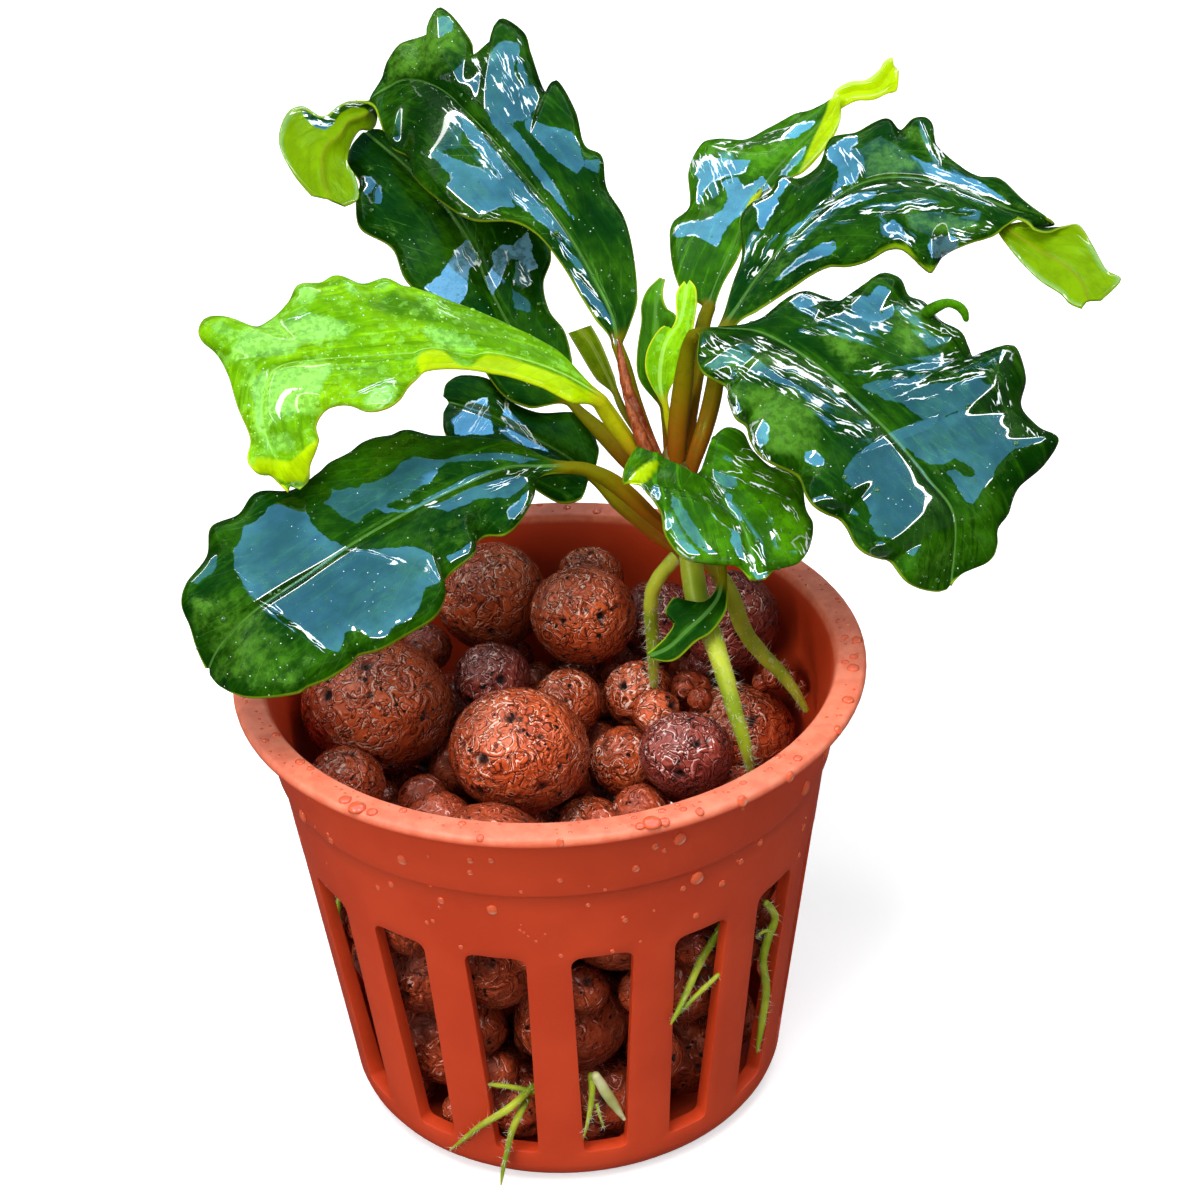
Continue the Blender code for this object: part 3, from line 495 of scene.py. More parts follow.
def fired_clay_finish(name, shade, dark, painted_glint, crinkled):
    """A wet skin of smooth flakes with winding creases between them, with painted shade in the
    creases, and near-black burst holes. Its upper front, which faces the lamps, gets a painted
    sheen and painted glints, the flakes get painted light on their sides towards the lamps and
    painted shade on the others, and the side away from the lamps gets painted shade."""
    finish = Finish(name)

    def skin(place):
        fold = finish.cloud(place, 1.0 / (1.5 * MM), 1.5, bend=1.6)
        wrinkle = finish.cloud(place, 1.0 / (0.95 * MM), 0.5, bend=1.4)
        flakes = finish.step((fold - 0.5).math("ABSOLUTE"), 0.0, 0.035)
        small = finish.step((wrinkle - 0.52).math("ABSOLUTE"), 0.0, 0.045)
        height = flakes * (0.09 * crinkled) + small * (0.06 * crinkled)
        return height + fold * 0.36 + wrinkle * 0.22 * crinkled, flakes, small

    here, flakes, small = skin(finish.place())
    # Painted light and shade of the relief: rise is the height here minus the height a little towards
    # the lamps, above 0 where the skin faces them.
    beside = finish.node("ShaderNodeVectorMath", {"operation": "ADD"},
                         {0: finish.place(), 1: (-0.055 * MM, -0.06 * MM, 0.075 * MM)})
    rise = here - skin(beside)[0]
    lit = finish.mark("lit")
    cloud = finish.noise(3.4, 3.0, 0.6)
    grain = finish.noise(0.30, 2.0, 0.6)
    body = finish.mix(finish.step(cloud, 0.36, 0.62), dark, shade)
    body = finish.mix(finish.step(grain, 0.50, 0.34) * 0.3, body, toned(dark, 0.5))
    # Painted shade in the creases between the flakes.
    painted_crease_shade = finish.step(flakes, 0.5, 0.1) * 0.7
    painted_crease_shade = painted_crease_shade.math("MAXIMUM", finish.step(small, 0.5, 0.1) * 0.5 * crinkled)
    body = finish.mix(painted_crease_shade, body, toned(dark, 0.18))
    # Painted shade where the flakes turn away from the lamps, painted light where they face them.
    body = finish.mix(finish.step(rise, -0.01, -0.07) * 0.8, body, toned(dark, 0.22))
    body = finish.mix(finish.step(rise, -0.01, 0.06) * 0.6, body, toned(shade, 1.5))
    # Painted sheen: a paler pink-brown on the upper front, where the lit mark says the skin faces the
    # lamps.
    painted_sheen = finish.step(lit + (cloud - 0.5) * 0.8, 0.60, 1.1)
    painted_sheen = painted_sheen * (0.10 + finish.step(rise, -0.03, 0.05) * 0.4)
    body = finish.mix(painted_sheen, body, tuple(0.35 * g + 0.55 * s for g, s in zip(painted_glint, shade)))
    # Painted shade on the side of each pebble away from the lamps.
    body = finish.mix(finish.step(lit, 0.40, 0.0) * 0.6, body, toned(dark, 0.35))
    # Painted glints: short pale strokes on the lamp-facing sides of the flakes, on the upper front.
    painted_glints = finish.step(rise, 0.038, 0.070) * finish.step(lit + (cloud - 0.5) * 1.8, 0.05, 0.60)
    body = finish.mix(painted_glints, body, painted_glint)
    specks = finish.step(finish.cells(1.0, finish.bent_place(0.7, 0.7)), 0.24, 0.18)
    holes = finish.step(finish.noise(1.3, 2.0), 0.52, 0.56) * specks
    pits = holes.math("MAXIMUM", finish.mark("pit"))
    body = finish.mix(pits, body, PIT_BLACK)
    roughness = 0.12 + finish.noise(0.8, 3.0) * 0.16 + pits * 0.6
    relief = here - holes * 0.3 + grain * 0.015
    return finish.surface(body, roughness, relief, specular_ior_level=0.5,
                          specular_tint=(1.0, 0.62, 0.50, 1.0))


PIT_BLACK = (0.006, 0.005, 0.005)
# The third colour of each clay is its painted glint.
clay_red = fired_clay_finish("fired clay", (0.80, 0.138, 0.038), (0.50, 0.067, 0.017),
                             (1.0, 0.74, 0.62), 1.0)
clay_brown = fired_clay_finish("fired clay, dark", (0.42, 0.075, 0.050), (0.22, 0.036, 0.026),
                               (1.0, 0.76, 0.72), 1.0)
# Darker colours as painted shade for the pebbles deep in the pot and in the gaps; their skin is also
# less crinkled.
clay_deep_shaded = fired_clay_finish("fired clay, deep in the pot", (0.56, 0.088, 0.028),
                              (0.26, 0.036, 0.012), (1.0, 0.62, 0.52), 0.45)


def traced(places):
    """Places traced in the picture: the numbers of each between commas, with blanks between."""
    return [tuple(float(number) for number in place.split(",")) for place in places.split()]


# Where burst pits show: across, down and the radius of the pit in millimetres.
BURST = traced("""326,693,0.6 426,715,0.34 431,686,0.28 307,713,0.26 416,647,0.26 482,761,0.66
    545,790,0.52 451,757,0.32 510,718,0.4 520,720,0.32 541,735,0.4 563,768,0.24 557,660,0.34
    586,608,0.26 602,624,0.26 619,607,0.22 570,596,0.22 600,664,0.24 696,742,0.4 708,739,0.3
    525,543,0.28 797,719,0.44 745,706,0.26 655,776,0.32 605,750,0.24 770,600,0.32 800,640,0.28
    468,690,0.24 565,700,0.26""")
# Towards the lamps: where the painted sheen and painted shade on the pebbles lie.
LAMPWARD = np.array((-0.35, -0.49, 0.80))
DARK_PEBBLES = (6, 11, 13, 14, 15)
TOP_PEBBLES = 17
SHOWN_PEBBLES = 26
PEBBLES = 40
PEBBLE_SEED = 200
CREASE_DEPTH = 0.09
PIT_DEPTH = 0.5
UP = np.array((0.0, 0.0, 1.0))


def ball(fineness):
    form = bmesh.new()
    bmesh.ops.create_icosphere(form, subdivisions=fineness, radius=1.0)
    points = np.array([v.co for v in form.verts])
    faces = [[v.index for v in face.verts] for face in form.faces]
    form.free()
    return points, faces


def shown_at(points):
    """Where points show in the picture, as (across, down)."""
    out = points - eye
    depth = -(out @ towards)
    across = PICTURE_MIDDLE + PICTURE_FOCAL * (out @ rightward) / depth
    return np.stack([across, PICTURE_MIDDLE - PICTURE_FOCAL * (out @ upward) / depth], axis=-1)


def waves(points, size, draw, count=12):
    """Smooth random relief around 0 over points, with lumps of about this size."""
    ways = draw.normal(size=(count, 3))
    ways *= (math.tau / size * draw.uniform(0.6, 1.4, count) / np.linalg.norm(ways, axis=1))[:, None]
    return np.sin(points @ ways.T + draw.uniform(0, math.tau, count)).sum(axis=1) / (0.7 * count)


def solid_ellipsoid(name, short):
    """Middle, half width and half thickness of a pebble's solid, flattened along short."""
    points = np.array([v.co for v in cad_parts[name].data.vertices])
    middle = points.mean(axis=0)
    out = points - middle
    along = out @ short
    thick = np.abs(along).max()
    inside = np.abs(along) < thick * 0.9
    flat = np.linalg.norm(out - along[:, None] * short, axis=1)
    wide = (flat[inside] / np.sqrt(1 - (along[inside] / thick) ** 2)).mean()
    return middle, wide, thick


def pebble_skin(unit, middle, wide, thick, short, draw, pits):
    """Points of one pebble, how deep each lies in a burst pit and how far it faces the lamps, which
    places its painted sheen and shade.
    """
    along = unit @ short
    points = (unit - np.outer(along, short)) * wide + np.outer(along, short) * thick
    reach = wide / MM
    relief = 0.045 * reach * waves(unit, 2.2, draw) + 0.014 * reach * waves(unit, 0.9, draw)
    relief += 0.03 * waves(points / MM, 1.1, draw)
    seeds = draw.normal(size=(int(34 * reach * reach / 2), 3))
    seeds /= np.linalg.norm(seeds, axis=1)[:, None]
    bent = unit + 0.05 * np.stack([waves(unit, 0.35, draw) for _ in range(3)], axis=1)
    near = np.sort(((bent[:, None, :] - seeds[None, :, :]) ** 2).sum(axis=2), axis=1)[:, :2]
    near = np.sqrt(near) * reach
    relief += CREASE_DEPTH * (np.clip((near[:, 1] - near[:, 0]) / 0.35, 0, 1) - 1)
    pit = np.zeros(len(unit))
    bursts = []
    for _ in range(pits):
        way = draw.normal(size=3)
        size = draw.uniform(0.2, 0.4) if draw.uniform() < 0.7 else 0.55
        bursts.append((way / np.linalg.norm(way), size))
    spots = shown_at(middle + points)
    hidden = unit @ towards < 0.1
    for across, down, size in BURST if reach > 1.9 else ():
        away = np.hypot(spots[:, 0] - across, spots[:, 1] - down) + 99.0 * hidden
        if away.min() < 5.0:
            bursts.append((unit[away.argmin()], size))
    for way, size in bursts:
        bend = 1 + 0.35 * waves(unit, 0.25, draw)
        away = np.arccos(np.clip(unit @ way, -1, 1)) * reach * bend
        pit = np.maximum(pit, np.clip(2.6 * (1 - away / size), 0, 1))
    relief -= PIT_DEPTH * pit
    # lit: how far the point faces the lamps, which places the painted sheen and painted shade.
    lit = np.clip(unit @ LAMPWARD, 0.0, 1.0) ** 2
    return middle + points + unit * relief[:, None] * MM, {"pit": pit, "lit": lit}


for number in range(1, PEBBLES + 1):
    node = f"clay_pebble_{number:02d}"
    draw = np.random.default_rng(PEBBLE_SEED + number)
    short = upward if number <= SHOWN_PEBBLES else UP
    middle, wide, thick = solid_ellipsoid(node, short)
    unit, faces = ball(5 if number <= TOP_PEBBLES and wide > 2.6 * MM else 4)
    pits = int(draw.integers(3, 6) + wide / MM * 2.2)
    points, marks = pebble_skin(unit, middle, wide, thick, short, draw, pits)
    material = clay_brown if number in DARK_PEBBLES else clay_red
    if number > TOP_PEBBLES:
        material = clay_deep_shaded
    add_piece(f"{node}_fired", points, faces, material, "fired_clay", [node], marks)


# Small pebbles. The fines of the same clay, shaken down into the gaps between the large ones.
def seen(places):
    """The points that show at (across, down) and lie near millimetres before the middle plane."""
    places = np.asarray(places, float)
    across, down, near = places[..., 0:1], places[..., 1:2], places[..., 2:3] * MM
    scale = (VIEW_DISTANCE - near) / PICTURE_FOCAL
    sideways = rightward * (across - PICTURE_MIDDLE) * scale
    return VIEW_TARGET + sideways + upward * (PICTURE_MIDDLE - down) * scale + towards * near


def joined(parts):
    """The points and faces of several meshes as those of one."""
    points, faces = [], []
    for more, more_faces in parts:
        faces += [[i + len(points) for i in face] for face in more_faces]
        points += list(more)
    return points, faces


SMALL_PEBBLES = 150
FILL_TOP = 29.5
SMALLEST = 0.8
placed = []
for number in range(1, PEBBLES + 1):
    low, high = (np.array(corner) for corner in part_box(f"clay_pebble_{number:02d}"))
    placed.append((*(low + high) / 2 / MM, (high - low).max() / 2 / MM))
placed = np.array(placed)
draw = np.random.default_rng(77)
tries = draw.uniform((-21, -21, 1.5), (21, 21, FILL_TOP), size=(60000, 3))
small = []
for _ in range(SMALL_PEBBLES):
    gaps = np.full(len(tries), 3.0)
    for x, y, z, radius in placed:
        gaps = np.minimum(gaps, np.linalg.norm(tries - (x, y, z), axis=1) - radius)
    flat = np.hypot(tries[:, 0], tries[:, 1])
    gaps = np.minimum(gaps, inner_radius(tries[:, 2]) - 0.2 - flat)
    gaps = np.minimum(gaps, tries[:, 2] - POT_FLOOR)
    gaps = np.minimum(gaps, FILL_TOP + 1.0 - tries[:, 2])
    best = int(gaps.argmax())
    if gaps[best] < SMALLEST:
        break
    small.append((*tries[best], gaps[best]))
    placed = np.vstack([placed, small[-1]])
    tries = tries[gaps > 0.5]

# Those that show: across, down, near and radius.
EXTRA_SMALL = traced("""440,828,-1,3 424,798,-4.5,2.1 424,648,-14,2.4 775,676,-9,1.2 789,680,-8.5,1
    762,682,-9.5,0.9 685,690,-9,0.9 798,688,-8.5,0.8 691,692,-11.5,1.9 700,700,-8,1.1
    594,1126,-8.5,1.4 604,1132,-10.5,1.4""")
for across, down, near, radius in EXTRA_SMALL:
    small.append((*(seen((across, down, near)) / MM), radius))

parts, pit, lit = [], [], []
unit, ball_faces = ball(3)
for x, y, z, radius in small:
    squeeze = draw.uniform(0.88, 1.0)
    points, marks = pebble_skin(unit, np.array((x, y, z)) * MM, radius * MM, radius * squeeze * MM,
                                UP, draw, 1)
    parts.append((points, ball_faces))
    pit.append(marks["pit"])
    lit.append(marks["lit"])
points, faces = joined(parts)
add_piece("small_clay_pebbles", points, faces, clay_deep_shaded, "fired_clay", (),
          {"pit": np.concatenate(pit), "lit": np.concatenate(lit)})


# Rhizome and sheaths. The short upright stem that leaves and roots grow from, ringed with leaf
# scars, and the papery red-brown sheaths that once wrapped the youngest leaves.
def smooth_run(points, count):
    """Points evenly spread along a smooth curve through the given ones, in any dimension."""
    points = np.asarray(points, float)
    steps = np.linalg.norm(np.diff(points[:, :3], axis=0), axis=1)
    along = np.concatenate([[0.0], np.cumsum(steps)])
    ends = np.vstack([points[:1], points, points[-1:]])
    found = []
    for target in np.linspace(0.0, along[-1], count):
        span = int(np.clip(np.searchsorted(along, target, "right") - 1, 0, len(points) - 2))
        part = (target - along[span]) / max(along[span + 1] - along[span], 1e-12)
        a, b, c, d = ends[span : span + 4]
        bend = (c - a) * part + (2 * a - 5 * b + 4 * c - d) * part**2
        found.append(0.5 * (2 * b + bend + (3 * b - a - 3 * c + d) * part**3))
    return np.array(found)


def ring_faces(rings, sides):
    """Quads between so many rings of points, each with so many sides."""
    faces = []
    for ring in range(rings - 1):
        for step in range(sides):
            after = (step + 1) % sides
            faces.append((ring * sides + step, ring * sides + after,
                          (ring + 1) * sides + after, (ring + 1) * sides + step))
    return faces


def tube_faces(rings, sides):
    """The same, closed at both ends."""
    first = tuple(range(sides))
    last = tuple((rings - 1) * sides + step for step in first)
    return [first[::-1], *ring_faces(rings, sides), last]


def tube(run, sides, relief=None):
    """Rings round a run of (x, y, z, radius), closed with rounded ends: points and faces."""
    middles, radii = run[:, :3], run[:, 3].copy()
    ahead = np.gradient(middles, axis=0)
    ahead /= np.linalg.norm(ahead, axis=1)[:, None]
    side = np.cross(ahead[0], (0.3, 0.9, 0.2))
    rings = []
    turns = np.linspace(0, math.tau, sides, endpoint=False)
    for middle, way, radius in zip(middles, ahead, radii):
        side = side - way * (side @ way)
        side /= np.linalg.norm(side)
        up = np.cross(way, side)
        out = np.outer(np.cos(turns), side) + np.outer(np.sin(turns), up)
        rings.append(middle + out * radius)
    for end, way in ((0, -ahead[0]), (-1, ahead[-1])):
        out = rings[end] - middles[end]
        cap = [middles[end] + out * math.cos(angle) + way * radii[end] * math.sin(angle)
               for angle in np.radians(CAP_RINGS)]
        rings = cap[::-1] + rings if end == 0 else rings + cap
    points = np.concatenate(rings)
    if relief is not None:
        ends = len(CAP_RINGS)
        axis = np.concatenate([[middles[0]] * ends, middles, [middles[-1]] * ends])
        axis = axis.repeat(sides, axis=0)
        points = axis + (points - axis) * (1 + relief(points / MM))[:, None]
    return points, tube_faces(len(rings), sides)


CAP_RINGS = (35, 65, 85)


def stem_run(places, count):
    """A smooth run in metres from places (across, down, near, radius in mm)."""
    places = np.asarray(places, float)
    return smooth_run(np.hstack([seen(places), places[:, 3:4] * MM]), count)


def stem_finish(name, low, high, dark, gloss):
    """Fibrous stem skin, from the colour low at the crown to high, with dark flecks."""
    finish = Finish(name)
    stretch = finish.node("ShaderNodeMapping", None,
                          {"Vector": finish.place(), "Scale": (1.0, 1.0, 0.25)})
    fibres = finish.cloud(stretch, 3200.0, 3.0)
    cloud = finish.noise(1.8, 3.0)
    colour = finish.mix(finish.step(cloud, 0.35, 0.65), low, high)
    colour = finish.mix(finish.step(fibres, 0.55, 0.38) * 0.6, colour, dark)
    return finish.surface(colour, gloss + cloud * 0.15, fibres * 0.09 + cloud * 0.06,
                          specular_ior_level=0.35, specular_tint=(1.0, 0.7, 0.4, 1.0))


rhizome_finish = stem_finish("rhizome", (0.20, 0.07, 0.02), (0.16, 0.15, 0.03), (0.05, 0.02, 0.01),
                             0.25)
sheath_finish = stem_finish("papery sheath", (0.20, 0.028, 0.006), (0.38, 0.085, 0.020),
                            (0.12, 0.016, 0.008), 0.18)
# From here on a run's places are across, down, near and radius.
RHIZOME = traced("673,456,0,0.9 676,472,0,1.25 684,515,0,1.4 690,552,0.4,1.2 692,566,0.5,0.7")
SCARS = 8.5
run = stem_run(RHIZOME, 44)
run[:, 3] *= 1 + 0.07 * np.sin(np.linspace(0, SCARS * math.tau, len(run)))
points, faces = tube(run, 20, lambda p: 0.06 * waves(p, 1.2, np.random.default_rng(8)))
add_piece("rhizome_skin", points, faces, rhizome_finish, "rhizome_and_sheath", ["rhizome"])

SHEATHS = {
    "leaf_sheath_upper": """663,464,0,0.3 648,438,-0.2,0.46 633,405,-0.5,0.5 623,370,-1,0.38
        618,338,-1.3,0.06""",
    "leaf_sheath_lower": "656,470,1.1,0.36 646,450,1.2,0.5 636,425,1.1,0.44 624,396,0.8,0.06",
}
for name, places in SHEATHS.items():
    run = stem_run(traced(places), 40)
    points, faces = tube(run, 16, lambda p: 0.22 * waves(p, 1.0, np.random.default_rng(9)))
    add_piece(f"{name}_papery", points, faces, sheath_finish, "rhizome_and_sheath", [name])


# Roots. Fleshy yellow-green water roots with white root hairs. The thick ones go down into the
# bed of pebbles, and thin ones come out of the slots.
def root_finish(name, low, high):
    finish = Finish(name)
    streak = finish.noise(0.9, 4.0, 0.6)
    cloud = finish.noise(4.0, 2.0)
    colour = finish.mix(finish.step(cloud, 0.35, 0.65), low, high)
    colour = finish.mix(finish.step(streak, 0.58, 0.72) * 0.5, colour, (0.62, 0.66, 0.30))
    colour = finish.mix(finish.step(streak, 0.42, 0.30) * 0.4, colour, (0.12, 0.14, 0.03))
    return finish.surface(colour, 0.28 + streak * 0.2, streak * 0.06, specular_ior_level=0.35,
                          specular_tint=(0.9, 1.0, 0.4, 1.0))


green_root = root_finish("root", (0.22, 0.32, 0.012), (0.46, 0.52, 0.035))
pale_root = root_finish("pale root", (0.42, 0.44, 0.12), (0.66, 0.66, 0.36))
hair_white = Finish("root hair").surface((0.72, 0.74, 0.55), 0.5)
ROOTS = {
    "root_front": """691,556,0.8,0.95 697,600,1.8,0.9 712,637,3.6,0.82 724,674,5,0.72
        735,712,5.4,0.62 746,748,4.8,0.5 751,772,3,0.3""",
    "root_inner": """677,556,-0.9,0.6 656,582,-1.8,0.6 651,605,-3,0.58 652,631,-4.6,0.55
        653,656,-6,0.5 654,684,-8.4,0.35""",
    "root_right": """702,552,-1.2,0.6 730,592,-2.6,0.66 743,628,-3.4,0.66 761,653,-4,0.62
        779,671,-4.4,0.55 794,690,-4.9,0.45 806,710,-5.8,0.25""",
}
FINE_ROOTS = [
    """722,925,0.9,0.3 711,944,0.8,0.32 700,962,0.9,0.32 686,994,1.4,0.28 677,1013,2.2,0.2
        671,1024,1.9,0.08""",
    "718,975,0.6,0.2 700,992,0.9,0.2 684,1008,1.4,0.16 672,1020,1.7,0.06",
    """766,903,0.2,0.3 775,917,-2.5,0.32 768,938,-3,0.34 763,960,-4,0.34 766,990,-6.9,0.34
        761,1028,-9.4,0.3 757,1052,-10.5,0.1""",
    "768,930,-2.8,0.16 761,933,-2.6,0.14 756,938,-2.6,0.05",
    """533,1087,-3.4,0.3 520,1099,-2.3,0.32 505,1111,-1.9,0.32 480,1126,-3.9,0.26 464,1139,-6,0.2
        450,1150,-8.1,0.06""",
    "533,1092,-3.2,0.24 512,1087,-2.6,0.22 496,1085,-2.4,0.18 486,1084,-2.3,0.06",
    """528,1099,-3.6,0.26 520,1113,-3,0.3 512,1131,-3.5,0.28 507,1152,-5,0.24 503,1170,-5.9,0.18
        501,1185,-6.1,0.06""",
    "591,1076,-1.6,0.3 592,1092,-1.8,0.26 589,1116,-2.8,0.2 583,1140,-4.6,0.06",
    "597,1105,-2.4,0.14 600,1116,-3,0.12 604,1128,-3.8,0.05",
    "341,893,-11.5,0.24 338,908,-11.8,0.26 341,925,-12.4,0.08",
]
PALE_ROOT = traced("596,1076,-1.3,0.4 605,1091,-2.1,0.44 613,1103,-3,0.4 624,1119,-3.9,0.14")
HAIR = 0.022


def hairs(run, count, length, draw, start=0.0):
    """Fine hairs that stand out from a root, as slim three-sided cones."""
    points, faces = [], []
    ahead = np.gradient(run[:, :3], axis=0)
    for _ in range(count):
        at = int(draw.integers(int(start * len(run)), len(run) - 1))
        middle, radius = run[at, :3], run[at, 3]
        way = ahead[at] / np.linalg.norm(ahead[at])
        out = draw.normal(size=3)
        out -= way * (out @ way)
        out /= np.linalg.norm(out)
        foot = middle + out * radius * 0.9
        long = length * draw.uniform(0.4, 1.2) * MM
        tip = foot + (out + way * draw.normal() * 0.45) * long
        side = np.cross(out, way)
        base = len(points)
        for turn in (0, 2.1, 4.2):
            points.append(foot + (way * math.cos(turn) + side * math.sin(turn)) * HAIR * MM)
        points.append(tip)
        faces += [(base + a, base + b, base + 3) for a, b in ((0, 1), (1, 2), (2, 0))]
    return points, faces


def root_skin(run, sides, amount, lumps, seed):
    """A root's lumpy skin."""
    return tube(run, sides, lambda p: amount * waves(p, lumps, np.random.default_rng(seed)))


hair_parts = []
draw = np.random.default_rng(31)
for name, places in ROOTS.items():
    run = stem_run(traced(places), 70)
    points, faces = root_skin(run, 16, 0.07, 1.7, 3)
    add_piece(f"{name}_skin", points, faces, green_root, "root", [name])
    hair_parts.append(hairs(run, 260 if name == "root_front" else 160, 0.75, draw, 0.3))
fine_parts = []
for places in FINE_ROOTS:
    run = stem_run(traced(places), 40)
    fine_parts.append(root_skin(run, 10, 0.10, 1.3, 4))
    hair_parts.append(hairs(run, 12 * len(traced(places)), 0.6, draw))
add_piece("fine_roots", *joined(fine_parts), green_root, "root")
pale_tip = root_skin(stem_run(PALE_ROOT, 30), 12, 0.10, 1.3, 6)
add_piece("pale_root_tip", *pale_tip, pale_root, "root")
add_piece("root_hairs", *joined(hair_parts), hair_white, "root")


# Leaves. Thick glossy leaves on round channelled stalks, dark green above and paler below, with
# waved margins; the young ones are yellow-green. Each grew in one piece with its stalk, and all
# are wet, so that the lamps show in them.
def leaf_finish(name, deep, bright, fresh, under, rim, rib, stalk, crown, film, painted_dew_sheen=None):
    """deep and bright mottle the upper side, with streaks and flecks that are partly painted light
    and shade of its relief; rim and rib edge it; the stalk reddens downwards. Where the film of
    water lies, the leaf mirrors the lamps; strong films also get a painted reflection, and the
    film's edge, the gleam streaks and small drops get painted highlights; on the young leaf, a
    painted sheen of dew."""
    finish = Finish(name)
    edge, side = finish.mark("edge_mm"), finish.mark("side_mm")
    along, below = finish.mark("along_mm"), finish.mark("under")
    on_stalk, wet = finish.mark("stalk"), finish.mark("wet")
    film_mm, gleam = finish.mark("film_mm"), finish.mark("gleam")
    cloud = finish.noise(6.0, 3.0, 0.6)
    blotch = finish.noise(2.2, 4.0, 0.65)
    mottle = finish.noise(0.8, 4.0, 0.65)

    slant = along * 0.62 - side * 0.9
    course = {0: side * 1.5, 1: along * 0.12, 2: slant * 0.15}
    fibres = finish.cloud(finish.node("ShaderNodeCombineXYZ", None, course), 1.0, 4.0, 0.6)
    # The streaks and dark flecks below are partly the leaf's own tone and partly painted light and
    # shade of its channels and relief.
    upper = finish.mix(finish.step(cloud, 0.40, 0.66), deep, bright)
    upper = finish.mix(finish.step(fibres, 0.52, 0.68) * 0.5, upper, toned(bright, 1.7))
    upper = finish.mix(finish.step(fibres, 0.46, 0.36) * 0.6, upper, toned(deep, 0.5))
    patchy = finish.mark("fresh") + (blotch - 0.5) * 1.6 + (mottle - 0.5) * 0.8
    upper = finish.mix(finish.step(patchy, 0.15, 1.15), upper, fresh)
    upper = finish.mix(finish.step(mottle, 0.56, 0.40) * 0.35, upper, toned(deep, 0.5))
    vein = slant.math("FRACT").math("PINGPONG", 0.5)
    lateral = finish.step(vein, 0.10, 0.0) * finish.step(side, 0.2, 0.8)
    upper = finish.mix(lateral * finish.step(cloud, 0.35, 0.7) * 0.10, upper, rib)
    upper = finish.mix(finish.step(edge, 0.22, 0.04) * 0.85, upper, rim)

    lower = finish.mix(finish.step(blotch, 0.4, 0.65) * 0.5, under, toned(under, 0.58))
    lower = finish.mix(finish.step(fibres, 0.48, 0.62) * 0.4, lower, toned(under, 0.62))
    pale_edge = (under[0] * 1.5, under[1] * 1.25, 0.01)
    lower = finish.mix(finish.step(edge, 0.45, 0.12) * 0.5, lower, pale_edge)
    lower = finish.mix(lateral * 0.2, lower, toned(under, 0.6))
    lower = finish.mix(finish.step(side, 0.12, 0.05) * 0.25, lower, (0.30, 0.14, 0.02))
    ribbed = finish.step(side, 0.24, 0.12) * (0.6 - below * 0.6)
    blade = finish.mix(ribbed, finish.mix(below, upper, lower), rib)

    ragged = film_mm + (finish.noise(0.9, 4.0, 0.65) - 0.5) * 0.6 + 0.04
    inside = finish.step(ragged, -0.02, 0.03)
    # Painted reflection: films stronger than 1 are mixed towards a pale sky blue, as the sheet above
    # would show in them.
    painted_reflection = inside * finish.step(wet, 1.0, 2.0) * (1.0 - finish.step(mottle, 0.55, 0.40) * 0.5)
    blade = finish.mix(painted_reflection, blade, PAINTED_SKY_REFLECTION)
    wet = wet.math("MINIMUM", 1.0) * (1.0 - painted_reflection * 0.6)
    # Painted sheen of dew on the young leaf: paler green where the film lies, and pale flecks.
    if painted_dew_sheen:
        droplets = finish.step(finish.noise(0.45, 2.0, 0.6), 0.44, 0.58)
        dewy = finish.step(film_mm + (blotch - 0.5) * 3.6, -0.2, 0.5) * wet
        dewy = (dewy * (0.4 + mottle + droplets * 0.9)).math("MINIMUM", 1.0)
        blade = finish.mix(dewy, blade, painted_dew_sheen)
        pale = finish.step(finish.noise(0.9, 3.0, 0.6), 0.52, 0.60) * 0.25 * (1.0 - below)
        blade = finish.mix(pale, blade, painted_dew_sheen)

    # Painted highlights: the film's edge (lip), thin streaks in the gleam zones and the glints of small
    # drops are mixed towards white.
    broken = finish.step(finish.noise(1.7, 3.0), 0.50, 0.58)
    lip = inside * finish.step(ragged, 0.15, 0.09) * broken * finish.step(wet, 0.35, 1.0)
    bent = finish.mark("flow_across") * 1.15 + (blotch - 0.5) * 0.9
    flow = {0: bent, 1: finish.mark("flow_along") * 0.15}
    ripple = finish.cloud(finish.node("ShaderNodeCombineXYZ", None, flow), 1.0, 1.6)
    thick = (finish.noise(1.3, 2.0) + gleam * 0.20 - 0.60) * 0.10
    lines = (ripple - 0.44).math("ABSOLUTE").math("MINIMUM", (ripple - 0.56).math("ABSOLUTE"))
    painted_streaks = finish.step(thick - lines, -0.007, 0.006) * finish.step(gleam, 0.1, 0.3)
    sheen = finish.step(ripple, 0.50, 0.54) * finish.step(gleam, 0.1, 0.5) * 0.42
    painted_drop_glints = finish.step(finish.cells(0.6), 0.10, 0.06) * finish.step(finish.noise(2.6), 0.48, 0.56)
    white = lip.math("MAXIMUM", painted_streaks).math("MAXIMUM", painted_drop_glints * 0.75)
    white = white * (1.0 - finish.step(on_stalk, 0.0, 0.3)) * (1.0 - below)

